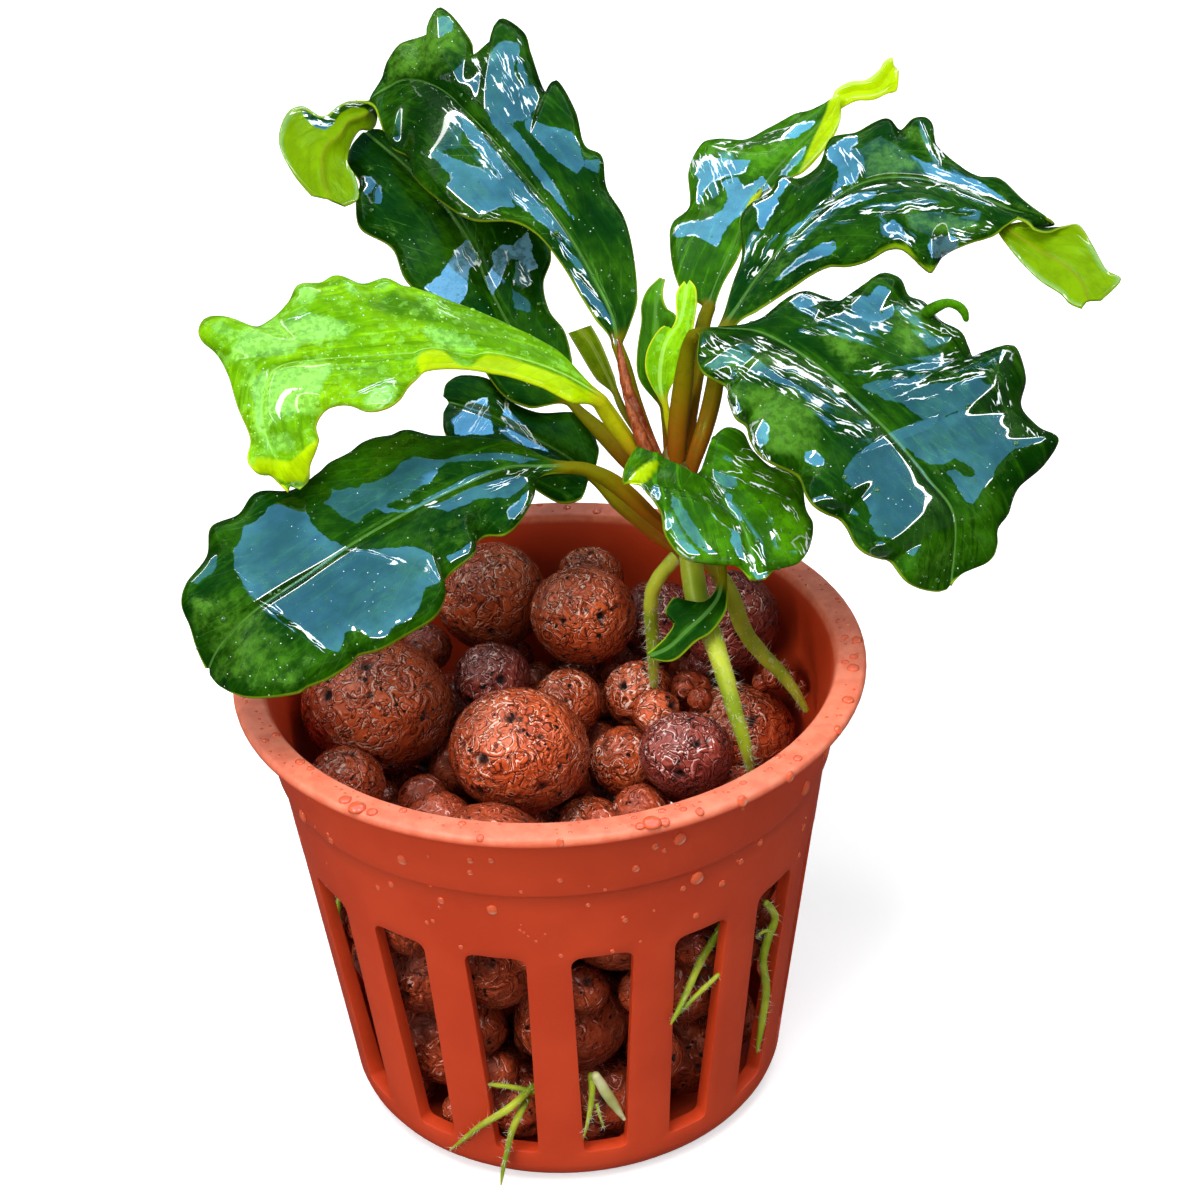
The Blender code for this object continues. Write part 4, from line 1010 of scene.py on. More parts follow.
    stem = finish.mix(finish.step(on_stalk, 1.15, 1.85), stalk, crown)
    stem = finish.mix(finish.step(mottle, 0.5, 0.65) * 0.35, stem, toned(stalk, 0.6))
    colour = finish.mix(finish.step(on_stalk, 0.35, 0.95), blade, stem)
    colour = finish.mix(white, colour, PAINTED_HIGHLIGHT)
    roughness = 0.16 + finish.step(mottle, 0.5, 0.8) * 0.2
    height = mottle * 0.010 - lateral * 0.010 + finish.noise(1.6, 2.0) * 0.02 + fibres * 0.04
    brim = finish.step(film_mm, 1.7, 0.1) * finish.step(cloud, 0.40, 0.60)
    varied = inside * wet * (0.74 + finish.step(blotch, 0.35, 0.65) * 0.26 + brim * 0.5)
    wet_rim = below * finish.step(edge, 0.6, 0.1) * 0.25
    wetness = varied.math("MAXIMUM", sheen).math("MAXIMUM", wet_rim) * film
    return finish.surface(colour, roughness, height, specular_ior_level=0.08, coat_weight=wetness,
                          specular_tint=(0.40, 1.0, 0.14, 1.0), coat_roughness=0.03, coat_ior=3.0)


PAINTED_SKY_REFLECTION = (0.13, 0.31, 0.47)
# Colour of the painted highlights.
PAINTED_HIGHLIGHT = (0.90, 0.98, 1.0)
DEEP = dict(deep=(0.003, 0.034, 0.001), bright=(0.019, 0.090, 0.001), fresh=(0.085, 0.25, 0.018),
            under=(0.20, 0.38, 0.001), rim=(0.30, 0.46, 0.015), rib=(0.11, 0.28, 0.05),
            stalk=(0.16, 0.145, 0.002), crown=(0.24, 0.070, 0.004), film=0.95)
MID = dict(deep=(0.022, 0.105, 0.002), bright=(0.060, 0.24, 0.002), fresh=(0.075, 0.28, 0.003),
           under=(0.46, 0.70, 0.001))
YOUNG = dict(deep=(0.13, 0.38, 0.002), bright=(0.24, 0.56, 0.003), fresh=(0.050, 0.18, 0.001),
             under=(0.46, 0.72, 0.001), rim=(0.75, 0.78, 0.03), rib=(0.45, 0.78, 0.14),
             stalk=(0.42, 0.44, 0.004), crown=(0.34, 0.11, 0.006), film=0.22,
             painted_dew_sheen=(0.36, 0.86, 0.12))
PALE = dict(deep=(0.08, 0.15, 0.002), bright=(0.13, 0.19, 0.003), fresh=(0.15, 0.25, 0.01),
            under=(0.2, 0.26, 0.02), rim=(0.25, 0.30, 0.05), rib=(0.2, 0.26, 0.04),
            stalk=(0.16, 0.16, 0.01), crown=(0.22, 0.08, 0.01), film=0.5)
deep_leaf = leaf_finish("dark leaf", **DEEP)
mid_leaf = leaf_finish("green leaf", **{**DEEP, **MID})
young_leaf = leaf_finish("young leaf", **YOUNG)
pale_leaf = leaf_finish("pale leaf stub", **PALE)

# How each leaf lies in the picture. stalk: across, down, near and radius; midrib: across, down and
# near; left and right: the margins, with a third number where one lies nearer than lean gives,
# which is how near a margin lies for its distance across and down from the midrib; curl: the
# stretch past a fold, as rows of left, middle and right. film: the film of water, with how
# strongly it mirrors (above 1 also a painted reflection). gleam: painted bright streaks over a
# stronger mirror, with their strength and their way in degrees clockwise from level. fresh: fresh
# green, or on the young leaf a deeper one. turned: where the margin turns its paler underside up.
# rolled: where the dark upper side rolls over a curl.
LEAVES = {
    "leaf_upper_left": dict(
        finish=deep_leaf, slot="leaf", lean=(0.1, -0.56),
        stalk="659,461,-1.2,0.45 648,435,-1.6,0.45 635,400,-2,0.5 625,366,-2.4,0.5",
        midrib="""617,345,-2.6 610,312,-3.2 569,236,-5.6 521,172,-8.8 473,118,-13 441,89,-16.5
            408,80,-19.3 386,90,-20.5""",
        left="""613,351 600,328 581,297 562,265 537,234 508,220 473,220 441,201 415,179 406,156
            393,149 384,130,0.8""",
        right="""629,357 637,319 636,271 626,220 607,185 602,156 584,140 575,108 557,80 543,84
            530,51 524,32 503,21 492,35 466,46 460,25 444,11 431,19 425,30 400,43 388,60 383,78,-0.4""",
        curl="""376,108,-18.8 372,99,-20.4 378,96,-21.8  364,102,-18.8 370,108,-20 376,122,-21.4
            350,101,-18.6 362,116,-19.3 370,130,-20.4  338,106,-18 347,122,-18.3 359,131,-19.4
            322,117,-17.2 338,136,-17.3 350,146,-18.4  302,107,-16.9 326,146,-16.6 347,163,-17.4
            286,115,-16.4 322,158,-16.2 354,176,-16.8  279,143,-16 322,172,-15.8 358,188,-16.4
            293,174,-15.6 325,187,-15.6 358,200,-16  311,196,-15.4 329,200,-15.4 345,207,-15.6""",
        film=[
            (0.5, """420,152 428,145 439,152 455,159 475,167 492,174 500,178 514,207 500,207 488,212
                475,219 463,209 454,201 445,193 448,184 453,178 443,168 436,158 422,155"""),
            (0.5, """410,81 422,81 439,92 455,106 471,122 488,143 504,162 521,182 537,201 551,219
                566,236 553,232 537,219 521,207 504,191 496,172 482,156 471,141 463,129 463,119
                447,110 428,102 416,92"""),
            (0.5, """490,121 500,119 514,127 525,141 537,160 549,178 560,195 566,207 574,219 557,201
                541,182 525,160 510,143 498,129"""),
            (0.44, """428,76 451,74 463,65 484,59 496,47 502,41 519,43 520,53 514,63 514,78 521,86
                545,87 541,96 535,108 528,117 500,125 491,120 484,106 471,96 455,82"""),
            (0.5, """529,117 541,125 566,129 578,137 581,152 584,166 576,173 562,164 547,150 535,137
                525,125"""),
            (0.44, "391,137 408,137 408,145 402,150 393,143"),
            (0.44, "584,160 600,160 598,172 586,168"),
            (0.44, "436,18 451,16 453,30 440,37 432,33"),
            (0.14, "392,108 430,106 460,120 462,148 430,150 400,138"),
        ],
        gleam=[
            (0.7, 48, "424,84 470,108 530,180 566,236 600,300 590,290 545,236 500,190 450,130"),
            (0.8, 60, "462,62 520,40 528,86 545,90 530,118 490,110"),
            (0.8, 12, "440,215 470,222 510,216 505,208 470,214"),
            (0.7, 48, "556,236 600,300 625,345 612,345 580,290"),
        ],
        fresh=[
            (0.9, "384,60 400,40 430,10 455,12 464,48 432,62 400,78 384,86"),
            (0.4, "400,60 470,44 520,28 500,60 440,76"),
        ],
        rolled=[
            """302,108 308,112 318,117 327,115 338,106 352,101 366,102 378,111 385,124 382,128
                373,114 364,108 352,107 341,113 333,124 325,130 315,127 305,118""",
        ],
    ),
    "leaf_behind_upper_left": dict(
        finish=deep_leaf, slot="leaf", lean=(0.2, -0.5),
        stalk="""670,492,-0.5,0.5 652,481,-1.3,0.6 630,463,-2.6,0.68 604,435,-4.2,0.68
            580,412,-5.8,0.45""",
        midrib="""572,403,-6.3 545,375,-8 515,335,-10 489,287,-12.5 471,245,-15 440,200,-18
            405,166,-20.2 366,133,-21.8""",
        left="""570,411 540,411 508,399 488,376 468,340 440,310 406,281 390,245 361,230 355,204
            358,180 347,165 351,147 362,133""",
        right="""580,398 573,363 565,332 549,309 543,281 551,255 540,225 505,195 470,175 430,158
            403,145 385,131 371,129""",
        film=[
            (1.9, """467,240 474,250 476,262 468,270 466,294 460,303 446,300 424,288 434,280 441,275
                450,262 456,250"""),
            (1.9, """492,253 504,245 514,245 527,232 532,245 532,254 538,267 528,270 518,258 508,258
                504,271 498,286 492,294 486,280 494,265"""),
            (1.35, "516,262 528,264 530,284 522,300 514,284"),
            (0.52, "360,177 371,177 381,187 383,204 371,202 363,190"),
            (0.19, "512,284 530,286 530,312 514,308"),
        ],
        gleam=[
            (0.95, 60, "454,250 470,240 480,262 470,282 456,270"),
            (0.95, 75, "492,250 508,246 512,262 504,282 494,272"),
            (0.7, 50, "518,262 534,262 534,284 520,288"),
        ],
    ),
    "leaf_cut_short": dict(
        finish=pale_leaf, slot="leaf", lean=(0.2, -0.3), small=True,
        stalk="650,460,-2.5,0.25 637,434,-2.6,0.25 623,410,-2.5,0.3",
        midrib="616,394,-2.4 606,372,-2.3 592,345,-2 580,329,-1.8",
        left="611,396 595,378 578,350 568,333",
        right="621,397 615,378 602,345 591,325",
    ),
    "leaf_young_left": dict(
        finish=young_leaf, slot="young_leaf", lean=(0.05, -0.55),
        stalk="658,482,-0.2,0.45 643,462,0,0.55 627,440,0.4,0.66 611,418,1,0.72",
        midrib="""600,405,1.4 570,383,2.2 530,366,3.2 470,356,4.6 419,354,5.6 370,357,6.2
            320,360,6.8 275,370,7.2 262,410,8 272,450,8.4 290,484,8.4""",
        left="""600,424 584,416 553,398 521,385 489,378 454,373 422,374 409,384 400,400 387,409
            368,411 349,405 326,409 315,425 320,444 312,464 309,480 300,490""",
        right="""606,392 594,384 565,355 530,333 489,314 451,299 419,287 400,282 384,276 361,279
            336,274 320,280 298,285 288,298 272,312 253,322 234,322 218,318 205,322 199,333 202,342
            215,352 227,374 237,406 250,438 247,460 254,473 269,475 282,487 288,493""",
        film=[
            (0.41, """262,372 275,368 290,362 320,360 335,366 325,380 318,392 318,402 312,415
                300,412 285,416 270,425 262,432 256,415 252,395 254,380"""),
            (0.39, """238,335 260,325 290,318 300,310 325,316 347,322 350,336 330,336 300,345
                290,355 270,356 250,358 235,360 232,350 240,342"""),
            (0.39, "295,290 310,283 322,282 320,292 310,302 298,304"),
            (0.39, "345,282 360,280 356,292 346,290"),
            (0.39, "370,281 385,278 391,286 380,292"),
            (0.39, "418,284 440,300 456,308 472,312 460,319 445,314 430,302"),
            (0.55, "362,400 375,390 388,385 395,390 388,402 378,408 366,406"),
            (0.28, "420,330 445,328 468,338 480,350 458,352 435,342"),
            (0.55, "290,485 298,480 304,485 302,491 295,492"),
            (0.33, "208,324 222,322 234,330 226,336 214,332"),
            (0.28, "262,438 285,434 300,440 290,452 266,450"),
        ],
        gleam=[
            (0.7, -20, "346,396 392,374 398,386 362,404"),
            (0.6, -15, "286,312 314,302 312,316 290,322"),
            (0.6, 20, "424,296 470,312 474,322 440,314"),
        ],
        fresh=[
            (1, "350,302 395,288 425,300 440,320 400,322 370,312"),
            (0.8, "270,440 300,425 312,440 290,452"),
            (0.7, "470,322 520,338 500,350 470,340"),
        ],
        turned=[
            """422,378 416,360 422,352 432,349 443,351 451,358 461,366 471,367 480,358 488,354
                504,356 521,362 545,370 566,378 600,402 606,430 560,408 521,390 489,382 454,377""",
            "256,458 268,458 290,462 315,440 322,446 312,466 304,482 286,482 268,474 250,472",
        ],
    ),
    "leaf_dark_behind": dict(
        finish=deep_leaf, slot="leaf", lean=(0.1, -0.6),
        stalk="679,550,-0.5,0.45 660,538,-1.6,0.55 640,521,-2,0.6 618,503,-2.6,0.55 602,487,-3.4,0.4",
        midrib="592,477,-3.9 566,457,-5.2 530,436,-7 490,415,-9 450,402,-10.5",
        left="596,486 584,497 562,503 537,490 505,468 468,452 446,436 443,415",
        right="602,470 598,445 581,414 537,411 508,399 489,379 463,375 447,383 443,396",
        film=[
            (1.4, "453,421 461,413 467,403 488,397 488,407 494,434 455,434"),
            (1.3, "506,399 514,421 525,427 541,446 550,452 525,445 508,432 503,413"),
        ],
        gleam=[
            (1, 45, "498,397 512,415 545,447 520,445 500,430"),
            (1, -50, "452,420 486,396 492,430 456,436"),
        ],
    ),
    "leaf_lower_left": dict(
        finish=deep_leaf, slot="leaf", lean=(0.0, -0.6),
        stalk="674,534,0.3,0.45 656,520,0.8,0.55 631,497,0.9,0.68 611,481,1.2,0.68 588,470,1.6,0.55",
        midrib="""572,467,2 541,467,2.8 508,468,3.8 476,480,5 435,499,6.6 393,521,8.2 349,547,9.6
            304,578,10.8 253,613,11.6 222,645,11.6 210,668,11.2""",
        left="""572,475 540,477 533,499 521,521 505,537 489,531 479,537 473,556 447,575 446,594
            435,617 406,633 380,649 358,652 349,664 329,677 307,684 298,692 275,696 246,698 221,687
            212,677""",
        right="""574,459 546,454 508,441 467,436 431,433 406,429 390,433 374,436 361,441 349,449
            329,460 317,470 291,486 256,492 237,511 211,527 205,553 186,582 181,604 189,626 195,645
            205,668""",
        film=[
            (0.41, """292,497 305,502 306,510 311,523 321,535 332,541 344,546 365,551 385,548
                406,547 422,549 434,556 441,568 440,582 426,586 422,596 419,609 410,619 395,625
                387,635 377,643 369,637 360,629 346,631 342,642 338,652 324,648 307,633 291,621
                272,609 258,600 244,584 234,568 234,551 241,539 244,527 262,518 268,508 278,502"""),
            (0.23, """319,488 336,490 360,488 365,475 371,467 373,453 385,438 401,434 436,436
                500,436 540,446 560,456 520,462 500,459 467,461 447,461 438,469 426,481 406,496
                385,504 365,514 358,523 344,518 332,506 319,502"""),
            (0.59, "420,474 432,468 438,472 428,484 412,484"),
            (0.36, """365,504 385,512 406,510 426,500 447,488 467,477 500,469 536,470 524,486
                510,497 480,497 467,503 450,511 426,506 406,512"""),
            (0.59, "506,511 516,503 524,496 532,488 534,496 526,508 519,519 508,519"),
            (0.53, "447,557 460,550 473,541 474,548 466,562 452,563"),
            (0.4, "188,582 200,572 211,553 217,553 215,570 198,582"),
        ],
        gleam=[
            (0.9, 38, "236,570 262,596 332,646 326,652 262,608 236,580"),
            (0.9, 12, "340,546 375,551 432,568 428,574 372,557 338,550"),
            (0.8, 60, "425,560 440,565 442,582 430,586"),
            (0.6, -20, "400,508 480,474 560,462 540,476 440,506"),
        ],
        fresh=[
            (0.5, "190,600 235,590 300,650 300,690 215,680"),
            (0.35, "420,520 460,512 480,530 470,550 430,548"),
        ],
    ),
    "leaf_upper_back": dict(
        finish=mid_leaf, slot="leaf", lean=(0.35, -0.6),
        stalk="681,486,-0.6,0.5 684,460,-0.8,0.6 690,410,-1.8,0.66 698,360,-3.2,0.68 703,325,-4.4,0.6",
        midrib="""708,308,-4.9 720,276,-6.3 736,240,-8.4 752,205,-10.4 775,172,-12.6 800,145,-14.6
            826,118,-16.3 838,98,-17.3""",
        left="""698,320 684,298 673,270 669,240 672,222 688,202 688,170 697,148 710,139 742,138
            768,127 793,115 812,110 832,100""",
        right="""710,320 722,285 741,250 741,215 750,204 771,189 790,178 803,173 820,155 834,135
            840,120 838,111""",
        curl="""836,90,-17.5 843,95,-17.5 844,107,-17.4  850,82,-17.7 855,91,-17.6 857,101,-17.5
            866,80,-17.7 869,90,-17.6 873,100,-17.5  879,70,-17.7 881,85,-17.5 887,94,-17.3
            886,60,-17.6 889,73,-17.4 897,90,-17.2  893,57,-17.5 894,66,-17.4 899,71,-17.2""",
        film=[
            (1.35, """726,180 738,178 744,188 752,184 762,176 771,190 760,197 750,205 741,214
                733,220 725,228 721,237 717,247 706,240 696,236 672,236 674,229 682,223 700,221
                712,217 722,210 728,200 727,190 722,184"""),
            (1.3, """692,162 700,157 714,158 730,160 750,160 746,172 735,174 722,178 712,182 705,190
                700,203 696,204 697,190 700,180 694,172"""),
            (1, """730,146 745,144 760,138 780,130 800,124 816,121 808,130 795,137 775,141 755,146
                735,149"""),
            (0.6, "776,182 782,172 792,160 800,150 806,146 804,154 796,164 788,172 785,180"),
        ],
        gleam=[
            (1, -14, "700,140 735,143 800,122 814,120 790,132 735,153"),
            (0.9, 70, "688,156 737,152 732,182 700,208"),
        ],
        fresh=[
            (1, "738,150 790,138 818,124 800,150 775,168 750,180 745,160"),
            (1, "800,172 812,150 826,118 840,106 840,122 826,150 808,174"),
            (0.8, "706,210 728,188 726,200 712,216"),
        ],
        turned=[
            """826,112 834,82 860,74 880,58 890,50 906,60 904,104 880,106 846,106 842,124 826,150
                806,176 799,173 812,142""",
        ],
    ),
    "leaf_upper_right": dict(
        finish=deep_leaf, slot="leaf", lean=(0.2, -0.6),
        stalk="684,492,-0.1,0.5 693,462,0.4,0.62 704,430,0.4,0.7 713,395,-0.3,0.72 719,355,-1.6,0.62",
        midrib="""722,332,-2.4 752,285,-4.4 783,247,-6.2 819,212,-7.8 857,186,-8.8 895,178,-9.2
            940,183,-9.2 984,199,-8.8 1010,210,-8.5 1034,216,-8.4""",
        left="""714,336 732,285 742,253 740,221 750,204 771,189 780,177 799,175 819,161 831,138
            857,129 876,121 889,119 901,126 914,119 929,122 936,142 959,164 978,175 1000,180
            1023,199 1048,219,-0.4""",
        right="""730,335 745,320 768,304 793,288 812,274 831,264 847,266 870,260 889,247 905,247
            921,263 930,275 946,253 965,244 988,237 1002,227,0.6 1016,219,0.8""",
        curl="""1053,224,-9.4 1046,223,-8.8 1026,222,-7.2  1025,228,-9.8 1022,225,-8.8 1036,230,-7
            1001,232,-9.4 1010,229,-8.6 1050,232,-7.2  1007,244,-8.6 1026,242,-8.2 1063,227,-7.8
            1022,263,-7.8 1045,255,-7.6 1078,225,-8.2  1040,281,-7 1062,265,-7.2 1092,246,-8.2
            1060,294,-6.4 1077,279,-6.8 1106,270,-7.8  1070,304,-6 1084,291,-6.5 1121,280,-7.2
            1082,309,-5.9 1087,302,-6.2 1101,301,-6.6""",
        film=[
            (0.72, """838,142 848,136 857,135 858,142 850,148 852,156 860,162 862,170 856,178
                852,184 842,186 834,192 840,178 838,168 830,160 826,154 832,146"""),
            (0.72, "780,238 795,226 815,212 822,208 820,214 806,224 790,234"),
            (0.72, "828,206 845,197 865,192 878,192 872,198 852,204 832,210"),
            (0.8, "752,202 762,197 776,195 778,203 772,213 765,224 762,230 758,222 757,210"),
            (0.8, "780,180 790,175 796,178 786,186 780,196 774,198 776,188"),
            (0.64, """812,250 822,243 834,242 836,248 830,254 818,258 806,262 795,268 782,278
                774,281 790,266 802,256"""),
            (0.8, "884,226 893,220 900,224 903,232 912,240 908,240 898,234 886,232"),
            (1.5, "928,245 932,240 940,236 950,235 958,240 957,246 950,253 940,257 932,257"),
            (0.8, """912,156 925,162 938,168 948,172 960,176 975,180 990,188 1000,196 1010,204
                998,203 980,196 965,189 950,183 935,180 922,172"""),
            (0.09, "860,150 880,136 900,148 918,160 930,176 900,176 866,178"),
            (0.09, "905,214 940,212 978,224 950,232 930,236 912,228"),
        ],
        gleam=[
            (0.9, 60, "826,146 862,150 866,182 830,200 838,170"),
            (1, 26, "912,156 950,168 1012,206 985,204 930,184"),
            (1, 60, "920,122 936,134 944,160 958,176 944,174 930,154 922,134"),
            (0.95, -24, "782,246 820,204 850,191 856,200 820,222 790,252"),
            (0.95, 0, "846,192 905,177 966,184 966,192 905,188 850,202"),
            (0.9, -6, "826,228 870,206 920,198 980,212 978,220 920,210 870,216"),
            (0.8, 45, "880,214 916,236 912,246 882,234"),
            (0.8, 10, "950,222 994,222 978,242 950,240"),
            (0.8, -55, "752,232 794,236 770,266 748,282 744,254"),
        ],
        fresh=[
            (1, "905,133 922,130 932,142 936,160 924,150"),
            (0.8, "862,150 890,140 925,165 925,176 866,178"),
            (0.8, "900,212 960,216 985,226 940,236 915,232"),
            (0.8, "1000,190 1050,218 1020,212 1000,204"),
            (0.5, "740,300 800,240 830,222 800,262 760,300"),
        ],
        turned=[
            "776,302 800,282 830,266 850,267 835,271 812,279 795,294",
            "866,263 880,250 895,243 908,246 918,260 905,252 890,249 878,256",
            "916,262 930,268 942,262 930,280",
        ],
    ),
    "leaf_right": dict(
        finish=deep_leaf, slot="leaf", lean=(-0.3, -0.55),
        stalk="675,482,0.3,0.6 676,460,0.5,0.7 678,425,0.7,0.78 683,385,1,0.78 688,350,1.9,0.6",
        midrib="""694,334,2.9 713,330,3.6 752,331,4.2 783,344,5 819,368,6.2 857,403,7.6 892,437,8.8
            926,478,9.8 953,517,10.6 950,582,11""",
        left="""694,324 707,326 720,331 736,328 761,323 780,311 790,298 806,291 825,293 844,295
            863,285 874,279 885,274 901,279 911,291 927,299 944,316 963,328 972,340 981,350 1000,347
            1016,348 1028,375 1027,399 1043,423 1058,440 1046,463 1022,485 1011,512 1000,528 997,546
            989,561 963,573 951,586""",
        right="""684,322 681,334 695,356 704,378 726,380 728,396 735,418 747,420 751,439 759,455
            775,463 794,467 802,474 806,493 813,506 826,512 842,514 850,525 856,544 866,554 882,558
            894,561 901,579 917,588 936,592 946,590""",
        film=[
            (0.34, """895,440 905,436 920,430 935,422 950,416 965,411 980,402 990,392 998,375
                1001,362 1008,358 1014,362 1009,376 1005,388 1010,396 1014,410 1020,423 1033,434
                1052,440 1032,444 1016,448 1006,456 998,464 993,475 990,482 982,490 977,498 974,504
                966,502 960,490 953,478 947,471 955,470 966,478 979,477 976,470 962,461 955,457
                945,464 930,463 920,458 908,448"""),
            (0.34, """862,452 884,446 893,441 905,452 920,468 935,488 948,508 957,520 952,526
                940,530 928,532 922,540 918,548 914,557 908,553 903,547 896,545 892,538 886,536
                880,537 876,534 874,528 868,522 872,515 868,505 860,495 850,485 842,478 848,466
                855,455"""),
            (0.28, "860,385 880,380 930,384 980,380 992,388 975,402 950,414 925,420 905,405 885,398"),
            (0.72, "750,426 760,418 768,424 768,440 760,448 754,440"),
            (0.56, "728,384 736,398 742,412 732,410 727,396"),
            (0.64, "803,452 815,450 820,456 828,465 815,466 806,460"),
            (0.48, "812,498 828,496 850,506 862,516 850,513 830,509 815,505"),
            (0.48, "868,552 880,542 895,549 885,557 872,557"),
            (0.6, """850,300 858,296 868,298 878,285 888,288 892,300 894,310 890,318 882,322 870,322
                858,318 852,310"""),
            (0.64, "790,301 800,294 808,298 820,302 812,307 798,308"),
            (0.8, "1002,350 1014,352 1010,362 1000,360"),
        ],
        gleam=[
            (0.95, 27, """696,336 760,338 810,360 866,410 872,440 840,436 812,408 780,390 740,378
                704,376"""),
            (1, -7, "846,370 900,362 960,352 1008,346 1003,360 950,371 890,378"),
            (0.9, -13, "876,384 930,376 995,362 988,374 950,392 905,404 888,398"),
            (0.9, -20, "856,448 895,431 938,416 936,426 895,442 862,454"),
            (0.8, 18, "796,296 850,290 856,318 892,325 884,347 830,334 800,332"),
            (0.8, 35, "890,296 925,304 962,336 930,347 905,322"),
            (0.7, 62, "728,390 742,412 758,446 776,462 768,470 744,436 730,410"),
            (0.7, 75, "990,390 1004,380 1012,410 1040,436 1010,444 996,420"),
        ],
        fresh=[
            (0.9, "718,384 745,392 775,385 800,395 822,402 816,446 790,456 768,450 752,430 746,412"),
            (1, "895,312 922,312 930,332 925,354 905,350 895,332"),
            (0.9, "822,330 862,338 872,350 850,366 826,342"),
            (0.6, "700,345 780,352 800,376 740,376 708,372"),
            (0.35, "905,556 940,545 1000,545 960,575 915,585"),
        ],
    ),
    "leaf_new_dark": dict(
        finish=mid_leaf, slot="leaf", lean=(0.3, -0.2), small=True,
        stalk="667,459,-2.4,0.25 666,440,-2.4,0.25 665,422,-2.4,0.28",
        midrib="663,408,-2.4 654,375,-2.4 656,335,-2.6 656,305,-2.8 662,282,-2.9",
        left="659,411 644,395 637,372 637,350 641,322 641,305 647,290 660,277",
        right="667,411 672,385 676,350 677,318 667,308 663,295 665,279",
    ),
    "leaf_new_light": dict(
        finish=young_leaf, slot="young_leaf", lean=(0.2, -0.1), small=True,
        stalk="674,459,-1.45,0.25 671,440,-1.4,0.25 668,422,-1.2,0.28",
        midrib="666,408,-1 660,380,-0.8 665,345,-0.8 681,320,-1 687,285,-1.2",
        left="662,411 650,390 645,368 647,350 656,333 664,326 670,330 676,318 676,294 684,281",
        right="669,411 674,390 681,366 690,350 694,324 697,303 696,288 690,280",
    ),
    "leaf_front": dict(
        finish=mid_leaf, slot="young_leaf", lean=(-0.15, -0.5),
        stalk="689,482,2.2,0.35 690,478,3,0.35",
        midrib="692,476,3.8 700,480,4.8 713,487,6 728,510,7.6 744,531,9 757,580,10",
        left="""693,469 702,464 709,450 715,435 728,427 743,432 753,448 772,464 791,464 802,476
            807,505 814,524 810,547 798,563 779,566 766,579""",
        right="""685,478 672,474 657,461 644,455,-0.6 636,447,-1.2 625,464,-1 624,483,-0.4 640,484
            648,490 661,510 665,534 682,557 702,563 723,560 738,567 749,579""",
        film=[
            (0.6, """734,526 741,530 742,544 747,554 753,562 760,569 767,572 768,580 760,581 750,572
                743,562 735,552 731,540"""),
            (0.6, "724,491 732,494 732,502 737,510 743,522 737,521 730,510 726,501"),
            (0.6, "703,496 710,500 718,510 727,519 736,528 730,529 717,520 708,508"),
            (0.41, """672,494 679,500 686,512 694,525 702,538 711,548 719,556 711,556 698,546
                688,535 679,520 672,506"""),
            (0.75, "650,490 656,484 661,494 658,500 652,499"),
            (0.75, "664,520 670,518 672,527 667,530"),
            (0.75, "671,541 681,540 692,547 699,555 690,560 679,551"),
            (0.75, "628,470 636,466 634,475 629,480"),
            (0.6, "790,542 801,535 812,540 806,552 798,549"),
            (0.45, "660,560 700,562 730,560 728,557 700,558 672,555"),
        ],
        gleam=[
            (0.45, 25, "705,475 740,440 800,475 792,500 740,484 725,492"),
            (0.45, 62, "766,496 814,516 806,556 772,548"),
            (0.55, 55, "704,486 722,486 762,540 768,576 752,570 726,520"),
            (0.45, 60, "640,470 664,500 700,560 690,560 660,520 640,486"),
        ],
        fresh=[
            (0.9, "662,520 672,500 700,548 730,562 700,564 676,556"),
            (0.9, "775,500 812,510 812,545 798,562 770,560 776,530"),
            (0.7, "628,480 626,462 636,448 645,458 636,474"),
        ],
        turned=[
            "626,486 632,474 645,464 656,460 659,464 652,474 646,482 638,486",
        ],
    ),
    "leaf_torn": dict(
        finish=deep_leaf, slot="leaf", lean=(0.2, -0.2), small=True,
        stalk="700,520,2,0.3 712,543,3.2,0.3 721,562,4,0.35",
        midrib="723,575,4.3 719,596,4.8 706,614,5.3 688,630,5.6 668,648,5.8 650,656,5.8",
        left="731,574 731,592 725,614 711,633 696,642 679,658 668,662 655,660",
        right="717,572 711,594 700,603 684,600 673,598 665,612 674,622 667,635 655,647 647,653",
    ),
}
PICTURE_POINT = VIEW_DISTANCE / PICTURE_FOCAL / MM
ACROSS = (0.0, 0.02, 0.045, 0.075, *np.arange(0.11, 0.88, 0.04).round(2),
          0.905, 0.935, 0.96, 0.98, 1.0)
LEAF_ROWS = 165
SMALL_LEAF_ROWS = 60
STALK_ROWS = 34
BLEND_ROWS = 18
LEAF_THICKNESS = 0.32
SMALL_LEAF_THICKNESS = 0.24
DRY = -5.0


def depth_inside(spots, outline):
    """How far inside an outline in the picture the spots lie, in picture points; below 0 outside."""
    nearest = np.full(len(spots), 1e9)
    inside = np.zeros(len(spots), bool)
    corners = np.array(traced(outline))
    for start, end in zip(corners, np.roll(corners, -1, axis=0)):
        edge = end - start
        share = np.clip((spots - start) @ edge / max(edge @ edge, 1e-9), 0.0, 1.0)
        away = np.linalg.norm(spots - start - share[:, None] * edge, axis=1)
        nearest = np.minimum(nearest, away)
        level_with = (start[1] > spots[:, 1]) != (end[1] > spots[:, 1])
        rise = edge[1] if abs(edge[1]) > 1e-9 else 1e-9
        left_of = spots[:, 0] < start[0] + (spots[:, 1] - start[1]) * edge[0] / rise
        inside ^= level_with & left_of
    return np.where(inside, nearest, -nearest)


def covered(spots, outline, soft):
    """1 inside the outline and 0 outside, with a soft edge this many picture points wide."""
    return np.clip(depth_inside(spots, outline) / soft + 0.5, 0.0, 1.0)


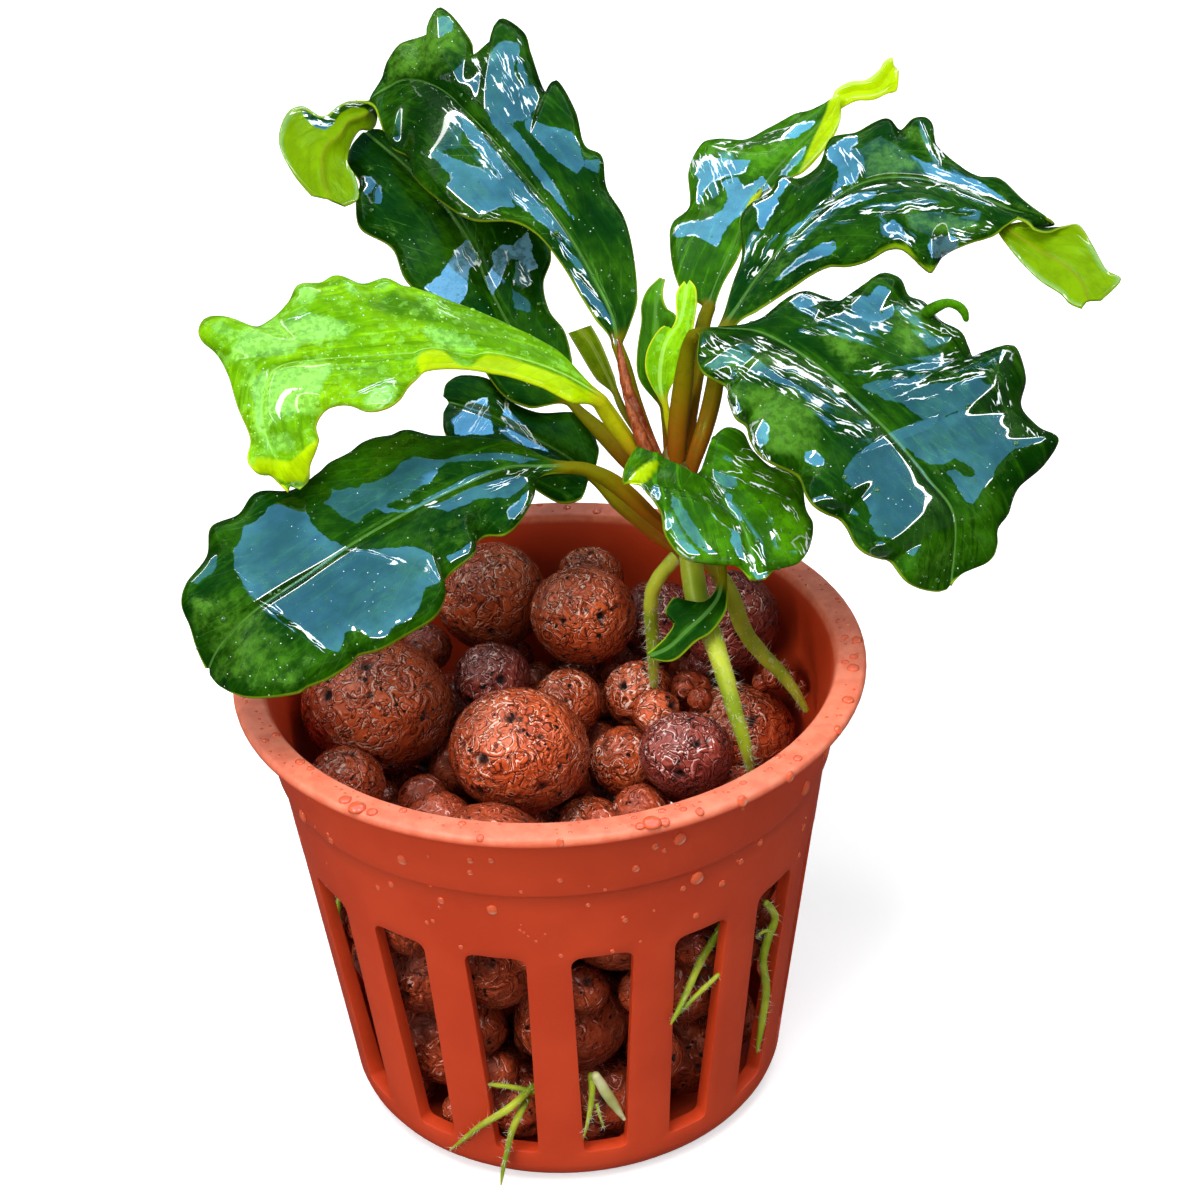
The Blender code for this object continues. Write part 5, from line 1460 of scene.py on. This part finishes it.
def blade_lines(leaf, count):
    """Left margin, midrib and right margin of the blade, each with count points."""
    middles = smooth_run(traced(leaf["midrib"]), count)
    lines = []
    for side in ("left", "right"):
        margin = smooth_run([(*place, 0.0)[:3] for place in traced(leaf[side])], count)
        lie = (margin[:, 0] - middles[:, 0]) * leaf["lean"][0]
        lie += (middles[:, 1] - margin[:, 1]) * leaf["lean"][1]
        margin[:, 2] += middles[:, 2] + lie * PICTURE_POINT
        lines.append(seen(margin))
    return lines[0], seen(middles), lines[1]


def scallops(margin, middle):
    """How far a margin stands out past its own smooth course, in mm, along the leaf."""
    wide = np.linalg.norm(margin - middle, axis=1) / MM
    reach = max(len(wide) // 9, 3)
    padded = np.pad(wide, reach, "reflect", reflect_type="odd")
    window = np.hanning(2 * reach + 1)
    return wide - np.convolve(padded, window / window.sum(), "valid")


def leaf_sheet(leaf, rows):
    """The blade's middle sheet as a grid, and for its relief: the place across, from -1 to 1, the
    widths and scallops of its two sides, and how far each row lies along it."""
    left, middle, right = blade_lines(leaf, rows)
    stand = [scallops(left, middle), scallops(right, middle)]
    bow = np.zeros(rows)
    if "curl" in leaf:
        knots = seen(traced(leaf["curl"])).reshape(-1, 3, 3)
        knots = np.concatenate([[(left[-1], middle[-1], right[-1])], knots])
        flat = smooth_run(knots[:, [1, 0, 2]].reshape(len(knots), 9), 9 * (len(knots) - 1))[1:]
        flat = flat.reshape(-1, 3, 3)
        middle = np.vstack([middle, flat[:, 0]])
        left, right = np.vstack([left, flat[:, 1]]), np.vstack([right, flat[:, 2]])
        fade = np.clip((rows - np.arange(rows)) / 10, 0, 1)
        stand = [np.concatenate([some * fade, np.zeros(len(flat))]) for some in stand]
        bow = np.concatenate([np.clip((np.arange(rows) - rows + 6) / 6, 0, 1), np.ones(len(flat))])
    steps = ACROSS[::2] if leaf.get("small") else ACROSS
    across = np.array([-v for v in steps[:0:-1]] + list(steps))
    grid = np.empty((len(middle), len(across), 3))
    for column, v in enumerate(across):
        straight = middle + ((left if v < 0 else right) - middle) * abs(v)
        curved = left * v * (v - 1) / 2 + middle * (1 - v * v) + right * v * (v + 1) / 2
        grid[:, column] = straight + (curved - straight) * bow[:, None]
    wide = [np.linalg.norm(left - middle, axis=1) / MM, np.linalg.norm(right - middle, axis=1) / MM]
    steps = np.linalg.norm(np.diff(middle, axis=0), axis=1)
    return grid, across, wide, stand, np.concatenate([[0.0], np.cumsum(steps)]) / MM


def sheet_normals(grid):
    face = np.cross(np.gradient(grid, axis=1), np.gradient(grid, axis=0))
    return face / np.maximum(np.linalg.norm(face, axis=2, keepdims=True), 1e-12)


def leaf_relief(grid, v, width, waved, share, draw):
    """Height in mm of the upper side over the plain lie of the blade."""
    ends = np.clip(share * 8, 0, 1) * np.clip((1 - share) * 10, 0, 1)
    flat = grid.reshape(-1, 3) / MM
    lumps = waves(flat, 8.0, draw).reshape(width.shape)
    small = waves(flat, 3.2, draw).reshape(width.shape)
    height = 0.055 * width * np.sin(math.pi * v**0.85) + 0.9 * waved * v**2.5
    height += (0.15 * lumps + 0.02 * small) * np.clip(v * width / 2.5, 0, 1)
    height -= 0.05 * width * np.clip((v - 0.86) / 0.14, 0, 1) ** 2
    return height * ends - 0.10 * np.exp(-((v * width / 0.35) ** 2))


def both_sides(upper, lower):
    """Rows round the blade: across its upper side, and back under it without the two edges."""
    return np.concatenate([upper, lower[:, -2:0:-1]], axis=1)


def water_marks(leaf, spots):
    """Depth in the film and its strength, the gleams and their flow, and the fresh green."""
    film = np.full(len(spots), -20.0)
    wet, gleam, fresh = np.zeros((3, len(spots)))
    for strength, outline in leaf.get("film", ()):
        depth = depth_inside(spots, outline)
        wet = np.where(depth > film, strength, wet)
        film = np.maximum(film, depth)
    flow = spots
    nearest = np.full(len(spots), -200.0)
    for strength, bearing, outline in leaf.get("gleam", ()):
        depth = depth_inside(spots, outline)
        gleam = np.maximum(gleam, np.clip(depth / 5 + 0.5, 0.0, 1.0) * strength)
        turn = math.radians(bearing)
        turned = spots @ np.array([(math.cos(turn), -math.sin(turn)), (math.sin(turn), math.cos(turn))])
        flow = np.where((depth > nearest)[:, None], turned, flow)
        nearest = np.maximum(nearest, depth)
    for strength, outline in leaf.get("fresh", ()):
        fresh = np.maximum(fresh, covered(spots, outline, 18) * strength)
    along, across = flow.T * PICTURE_POINT
    return {"film_mm": film * PICTURE_POINT, "wet": wet, "gleam": gleam, "fresh": fresh,
            "flow_across": across, "flow_along": along}


def blade_marks(leaf, upper, lower):
    """What the finish needs to know all round the blade, beside the measures of the sheet."""
    rows, columns = upper.shape[:2]
    spots = shown_at(upper.reshape(-1, 3))
    low_spots = shown_at(lower[:, -2:0:-1].reshape(-1, 3))
    rolled = np.zeros(len(low_spots))
    for outline in leaf.get("rolled", ()):
        rolled = np.maximum(rolled, covered(low_spots, outline, 1.5))
    along, across = low_spots.T * PICTURE_POINT
    below = {"film_mm": rolled * 0 + DRY, "gleam": rolled * 0.9, "flow_across": across,
             "flow_along": along}
    marks = {}
    for mark, values in water_marks(leaf, spots).items():
        low = below.get(mark, rolled * 0)
        marks[mark] = np.concatenate([values.reshape(rows, -1), low.reshape(rows, -1)], axis=1)
    under = np.zeros((rows, columns))
    under[:, [0, -1]] = 0.4
    for outline in leaf.get("turned", ()):
        under = np.maximum(under, covered(spots, outline, 2.0).reshape(rows, -1))
    marks["under"] = np.concatenate([under, 1.0 - rolled.reshape(rows, -1)], axis=1)
    return marks


def stalk_rings(leaf, grid, count):
    """The stalk as circles whose points pair with the blade's, run on along the blade's start."""
    knots = np.array(traced(leaf["stalk"]))
    line = np.hstack([seen(knots), knots[:, 3:4] * MM])
    middle = grid.shape[1] // 2
    line = np.vstack([line, [*grid[0, middle], line[-1, 3] * 0.92]])
    stem = smooth_run(line, STALK_ROWS)[:-1]
    centres = np.vstack([stem[:, :3], grid[:BLEND_ROWS, middle]])
    radii = np.concatenate([stem[:, 3], np.full(BLEND_ROWS, line[-1, 3])])
    side = grid[3, -1] - grid[3, 0]
    turns = np.linspace(0, math.tau, count, endpoint=False)
    channel = 1 - 0.18 * np.exp(-(((turns - math.pi / 2) / 0.5) ** 2))
    circles = []
    for middle, way, radius in zip(centres, np.gradient(centres, axis=0), radii):
        way = way / np.linalg.norm(way)
        level = side - way * (side @ way)
        level /= np.linalg.norm(level)
        out = np.outer(np.sin(turns) * channel, np.cross(level, way)) - np.outer(np.cos(turns), level)
        circles.append(middle + out * radius)
    return np.array(circles)


def leaf_mesh(name, leaf):
    """Points, faces and marks of a leaf: its stalk, blended into the first rows of its blade."""
    small = leaf.get("small", False)
    draw = np.random.default_rng(sum(map(ord, name)))
    grid, across, wide, stand, run = leaf_sheet(leaf, SMALL_LEAF_ROWS if small else LEAF_ROWS)
    v = np.abs(across)[None, :]
    right = (across > 0)[None, :]
    width = np.where(right, wide[1][:, None], wide[0][:, None])
    waved = np.where(right, stand[1][:, None], stand[0][:, None])
    share = (run / run[-1])[:, None]
    height = leaf_relief(grid, v, width, waved, share, draw) * (0.5 if small else 1.0)
    for outline in leaf.get("turned", ()) if "curl" not in leaf else ():
        depth = depth_inside(shown_at(grid.reshape(-1, 3)), outline).reshape(height.shape)
        height = height + 0.55 * np.sqrt(np.clip(depth / 9 + 0.3, 0.0, 1.0))
    grid = grid + sheet_normals(grid) * height[:, :, None] * MM
    normals = sheet_normals(grid) * MM
    thick = SMALL_LEAF_THICKNESS if small else LEAF_THICKNESS
    half_thick = thick / 2 * np.sqrt(np.maximum(1 - v**10, 0.0))
    rib = 0.30 * (1 - share) ** 2 * np.exp(-((v * width / 0.42) ** 2))
    upper = grid + normals * half_thick[:, :, None]
    lower = grid - normals * (half_thick + rib)[:, :, None]
    rings = both_sides(upper, lower)
    count = rings.shape[1]
    marks = blade_marks(leaf, upper, lower)
    marks["side_mm"] = both_sides(v * width, v * width)
    marks["edge_mm"] = both_sides((1 - v) * width, (1 - v) * width)
    marks["along_mm"] = np.repeat(run[:, None], count, axis=1)

    circles = stalk_rings(leaf, grid, count)
    blend = (np.arange(BLEND_ROWS) + 0.5) / BLEND_ROWS
    blend = (blend * blend * (3 - 2 * blend))[:, None]
    rings[:BLEND_ROWS] += (circles[-BLEND_ROWS:] - rings[:BLEND_ROWS]) * (1 - blend)[:, :, None]
    stem = len(circles) - BLEND_ROWS
    rings = np.concatenate([circles[:stem], rings])
    bare = np.zeros((stem, count))
    marks = {mark: np.concatenate([bare, values]) for mark, values in marks.items()}
    stalk = np.zeros((len(rings), count))
    stalk[:stem] = np.linspace(2.0, 1.0, stem)[:, None]
    stalk[stem : stem + BLEND_ROWS] = 1 - blend
    marks["stalk"] = stalk
    marks = {mark: values.ravel() for mark, values in marks.items()}
    return rings.reshape(-1, 3), tube_faces(len(rings), count), marks


blades = {}
for name, leaf in LEAVES.items():
    points, faces, marks = leaf_mesh(name, leaf)
    blades[name] = add_piece(f"{name}_blade", points, faces, leaf["finish"], leaf["slot"], [name],
                             marks)
    face_outwards(blades[name])


# Hooked tooth. A tooth of the right leaf's upper margin that has grown out into a curled hook.
def tree_of(piece):
    """What a ray can strike of a piece."""
    data = piece.data
    polygons = [tuple(p.vertices) for p in data.polygons]
    return BVHTree.FromPolygons([v.co for v in data.vertices], polygons)


def struck(tree, across, down):
    """Where the line of sight through a place in the picture meets the surface: point, normal."""
    way = Vector(seen((across, down, 0.0)) - eye).normalized()
    point, normal, _, _ = tree.ray_cast(Vector(eye), way)
    return point, normal


HOOK = traced("""918,320,-1.3,0.5 928,312,-0.8,0.5 938,306,0,0.44 948,303,0.5,0.36 958,306,0.5,0.36
    964,312,0.4,0.34 966,319,0.2,0.24""")
foot, _ = struck(tree_of(blades["leaf_right"]), *HOOK[0][:2])
lie = float((np.array(foot) - VIEW_TARGET) @ towards) / MM
run = stem_run(np.array(HOOK) + (0, 0, lie, 0), 40)
points, faces = tube(run, 14)
marks = {"edge_mm": 0.3, "side_mm": 2.0, "fresh": 0.6, "film_mm": DRY}
marks = {mark: np.full(len(points), value) for mark, value in marks.items()}
add_piece("leaf_right_hooked_tooth", points, faces, mid_leaf, "leaf", (), marks)


# Water. Beads on the pot's lip and wall and on the leaves, left from rinsing; the largest hang
# under the lip.
def bead_finish(name, low, high):
    """A clear drop, as the eye takes it: it holds the colour under it, with a painted glow on its far
    side for the light it gathers.
    """
    finish = Finish(name)
    colour = finish.mix(finish.step(finish.mark("painted_far_glow"), 0.25, 0.95), low, high)
    return finish.surface(colour, 0.03, specular_ior_level=0.5)


water_on_plastic = bead_finish("water on plastic", (0.82, 0.14, 0.055), (1.0, 0.62, 0.48))
water_on_dark = bead_finish("water on dark leaf", (0.04, 0.12, 0.01), (0.55, 0.72, 0.45))
water_on_young = bead_finish("water on young leaf", (0.26, 0.60, 0.03), (0.75, 0.90, 0.45))


def bead(point, normal, radius, tall, sides, sag=0.0):
    """A domed drop on a surface, with its lower part fuller when sag is above 0; and how far each
    of its points lies on the side away from the lamps, where a painted glow stands for the light it
    gathers."""
    axis = Vector(normal).normalized()
    side = axis.orthogonal().normalized()
    up = axis.cross(side)
    rings = max(sides // 3, 3)
    points, painted_far_glow = [], []
    for ring in range(rings):
        angle = math.pi / 2 * ring / rings
        for step in range(sides):
            turn = math.tau * step / sides
            out = side * math.cos(turn) + up * math.sin(turn)
            stretch = 1 + sag * max(0.0, -out.z)
            place = point + out * radius * math.cos(angle) * stretch
            points.append(place + axis * (radius * tall * math.sin(angle) - SUNK))
            painted_far_glow.append(max(0.0, FAR_WAY.dot(out)) * math.cos(angle) ** 0.5)
    points.append(point + axis * (radius * tall - SUNK))
    painted_far_glow.append(0.15)
    top = len(points) - 1
    rim = top - sides
    faces = ring_faces(rings, sides)
    faces += [(rim + step, rim + (step + 1) % sides, top) for step in range(sides)]
    faces.append(tuple(range(sides))[::-1])
    return points, faces, painted_far_glow


def add_beads(name, beads, material, slot):
    made = [bead(*some) for some in beads]
    points, faces = joined([(points, faces) for points, faces, _ in made])
    painted_far_glow = [far for _, _, some in made for far in some]
    return add_piece(name, [tuple(p) for p in points], faces, material, slot, (),
                     {"painted_far_glow": painted_far_glow})


SUNK = 0.02 * MM
FAR_WAY = Vector((0.3, 0.6, -0.75))
# Across, down and radius.
WALL_BEADS = traced("""402,859,0.42 441,900,0.3 492,909,0.42 470,860,0.26 470,872,0.24 491,860,0.24
    391,884,0.26 378,887,0.24 697,877,0.55 722,883,0.3 636,868,0.3 655,846,0.28 680,838,0.5
    805,787,0.6 625,920,0.22 696,915,0.26 683,888,0.24 803,827,0.32 799,855,0.26 303,815,0.5
    287,797,0.5 331,840,0.3 520,930,0.12 528,936,0.1 536,941,0.12 545,934,0.1 741,861,0.28
    760,842,0.3 560,880,0.2 588,905,0.18""")
LIP_BEADS = traced("""357,808,0.7 345,800,0.5 372,812,0.45 652,823,0.75 640,826,0.4 665,822,0.4
    300,762,0.4 276,735,0.35 857,640,0.45 853,668,0.5 861,620,0.35 848,700,0.5 838,730,0.4
    826,752,0.45 700,812,0.35 742,800,0.4 790,776,0.4 845,597,0.3 480,838,0.3 560,842,0.28""")
LIP_SPRAY = 230
WALL_SPRAY = 90
draw = np.random.default_rng(64)
pot_tree = tree_of(pot)
beads = []
for across, down, radius in WALL_BEADS + LIP_BEADS:
    point, normal = struck(pot_tree, across, down)
    if point is not None:
        sag = 0.35 if abs(normal.z) < 0.5 else 0.0
        beads.append((point, normal, radius * MM, 0.55, 14, sag))
for _ in range(LIP_SPRAY):
    bearing = draw.uniform(0, math.tau)
    reach = draw.uniform(LIP_INNER_RADIUS + 0.35, RIM_RADIUS - 0.5) * MM
    above = Vector((math.sin(bearing) * reach, -math.cos(bearing) * reach, 0.05))
    point, normal, _, _ = pot_tree.ray_cast(above, Vector((0, 0, -1)))
    if point is not None:
        radius = draw.uniform(0.08, 0.17) if draw.uniform() < 0.85 else draw.uniform(0.2, 0.4)
        beads.append((point, normal, radius * MM, 0.5, 9))
for _ in range(WALL_SPRAY):
    bearing = draw.uniform(0, math.tau)
    height = draw.uniform(24.5, 38.0) * MM
    out = Vector((math.sin(bearing), -math.cos(bearing), 0.0))
    point, normal, _, _ = pot_tree.ray_cast(out * 0.05 + Vector((0, 0, height)), -out)
    if point is not None:
        beads.append((point, normal, draw.uniform(0.08, 0.22) * MM, 0.5, 9, 0.2))
add_beads("water_on_pot", beads, water_on_plastic, "pot_plastic")

LEAF_BEADS = {
    "leaf_young_left": 170, "leaf_upper_left": 90, "leaf_lower_left": 70, "leaf_right": 90,
    "leaf_upper_right": 60, "leaf_front": 60, "leaf_behind_upper_left": 40, "leaf_upper_back": 30,
}
SMALLEST_FACE = 1e-8
beads = {"leaf": [], "young_leaf": []}
for name, count in LEAF_BEADS.items():
    data = blades[name].data
    low, stem = data.attributes["under"].data, data.attributes["stalk"].data
    faces = [p for p in data.polygons if len(p.vertices) == 4 and p.area > SMALLEST_FACE
             and sum(low[v].value + stem[v].value for v in p.vertices) < 0.1]
    for index in draw.integers(0, len(faces), count):
        face = faces[int(index)]
        radius = draw.uniform(0.07, 0.13) if draw.uniform() < 0.9 else draw.uniform(0.15, 0.26)
        kind = "young_leaf" if name == "leaf_young_left" else "leaf"
        beads[kind].append((face.center, face.normal, radius * MM, 0.5, 8))
add_beads("water_on_leaves", beads["leaf"], water_on_dark, "leaf")
add_beads("water_on_young_leaf", beads["young_leaf"], water_on_young, "young_leaf")
